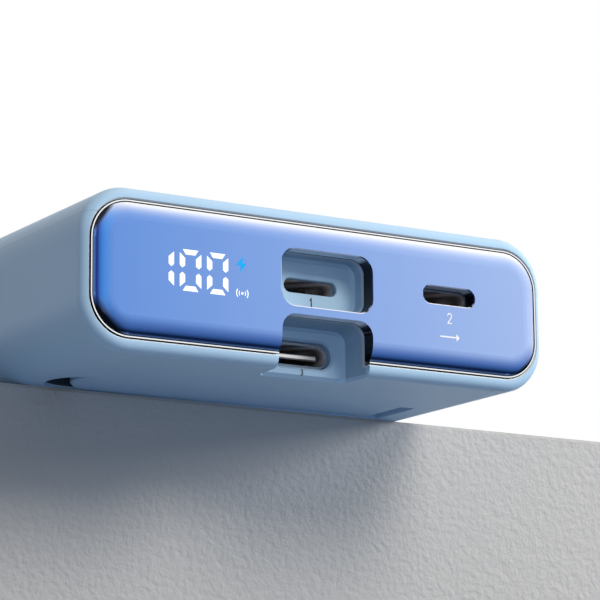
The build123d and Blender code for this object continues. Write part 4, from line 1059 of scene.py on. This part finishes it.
class POWERBANK_OT_inside(PowerBankOperator):
    """Give the pieces inside the shells their finishes"""

    bl_idname = "power_bank.inside"
    bl_label = "Inside"

    def execute(self, context):
        # Name, dark and light tone, grain size, roughness, metallic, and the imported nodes.
        for name, dark, light, grain, roughness, metallic, nodes in (
            # Green lacquer over glass weave, half glossy.
            ("glass_epoxy_solder_mask", "0E3B2A", "17573E", 0.8 * MM, 0.35, 0.0,
             ("main_board", "lower_board", "display_board", "board_link")),
            # Pale zinc, bright.
            ("turned_steel_zinc", "9DA1A6", "C9CCD0", 0.5 * MM, 0.3, 1.0,
             ("board_screws", "stand_pin")),
            # Dull ceramic, near black.
            ("pressed_ferrite", "2A2A2D", "3A3A3E", 0.3 * MM, 0.6, 0.0,
             ("ferrite_sheet", "power_inductors")),
            # Mid-grey strip with a soft shine.
            ("rolled_steel_shield", "6E7175", "85888C", 0.4 * MM, 0.35, 1.0, ("shield_ring",)),
            # Black and quite matt.
            ("black_foam_tape", "0B0C0E", "17181B", 0.3 * MM, 0.85, 0.0, ("fascia_adhesive",)),
            # Black packages, half matt.
            ("moulded_epoxy_chip", "141416", "1F1F22", 0.2 * MM, 0.5, 0.0,
             ("controller_chips", "button_switch", "switch_plunger")),
            # Bright silver cans.
            ("drawn_aluminium_can", "A9ADB2", "CDD0D4", 0.4 * MM, 0.28, 1.0, ("capacitors",)),
            # Silver foil, slightly crinkled.
            ("laminated_foil_pouch", "A7AAB0", "C6C9CE", 2.0 * MM, 0.38, 0.9,
             ("battery_cell_lower", "battery_cell_upper")),
            # Dark grey foam, fully matt.
            ("closed_cell_foam", "2B2C30", "4A4C52", 0.3 * MM, 0.9, 0.0,
             ("cell_foam_pad", "coil_foam_pad")),
            # Milky film.
            ("acrylic_glue_film", "C9CDD2", "E3E6EA", 0.6 * MM, 0.4, 0.0, ("cell_glue_pad",)),
            # Warm grey strip, bright.
            ("rolled_nickel_strip", "A8A59E", "CBC8C0", 0.3 * MM, 0.3, 1.0, ("cell_tabs",)),
            # Nickel that shines over a sintered grain.
            ("sintered_magnet_nickel", "8F9196", "B9BBC0", 0.5 * MM, 0.25, 1.0,
             ("magnet_ring", "key_magnet")),
            # Creamy and a little waxy.
            ("moulded_acetal_bush", "D9D7D0", "ECEAE3", 0.3 * MM, 0.4, 0.0, ("stand_bushes",)),
            # White and matt, which spreads the light.
            ("moulded_white_reflector", "E6E8EA", "F6F7F8", 0.4 * MM, 0.5, 0.0,
             ("display_reflector", "display_diffuser", "display_leds")),
        ):
            paint(speckled(name, dark, light, grain, roughness, metallic), *nodes)
        paint(wound_copper(), "charging_coil")
        return {"FINISHED"}


STEPS = (
    POWERBANK_OT_stage, POWERBANK_OT_shells, POWERBANK_OT_front_plate, POWERBANK_OT_sockets,
    POWERBANK_OT_digits, POWERBANK_OT_signs, POWERBANK_OT_marks, POWERBANK_OT_inside,
)


class POWERBANK_PT_sidebar(bpy.types.Panel):
    """Sizes, colours and steps of the power bank"""

    bl_idname = "POWERBANK_PT_sidebar"
    bl_label = "Power bank"
    bl_space_type = "VIEW_3D"
    bl_region_type = "UI"
    bl_category = "Power bank"

    def draw(self, context):
        for name, group in SETTINGS:
            box = self.layout.box()
            for prop in group.__annotations__:
                box.prop(getattr(context.scene, name), prop)
        for step in STEPS:
            self.layout.operator(step.bl_idname)


def register():
    for name, group in SETTINGS:
        bpy.utils.register_class(group)
        setattr(bpy.types.Scene, name, PointerProperty(type=group))
    for step in STEPS:
        bpy.utils.register_class(step)
    bpy.utils.register_class(POWERBANK_PT_sidebar)


def unregister():
    bpy.utils.unregister_class(POWERBANK_PT_sidebar)
    for step in reversed(STEPS):
        bpy.utils.unregister_class(step)
    for name, group in reversed(SETTINGS):
        delattr(bpy.types.Scene, name)
        bpy.utils.unregister_class(group)


def main():
    register()
    bpy.context.scene.view_settings.view_transform = "Standard"
    for step in STEPS:
        family, action = step.bl_idname.split(".")
        getattr(getattr(bpy.ops, family), action)()
    bpy.context.view_layer.update()


if __name__ == "__main__":
    main()
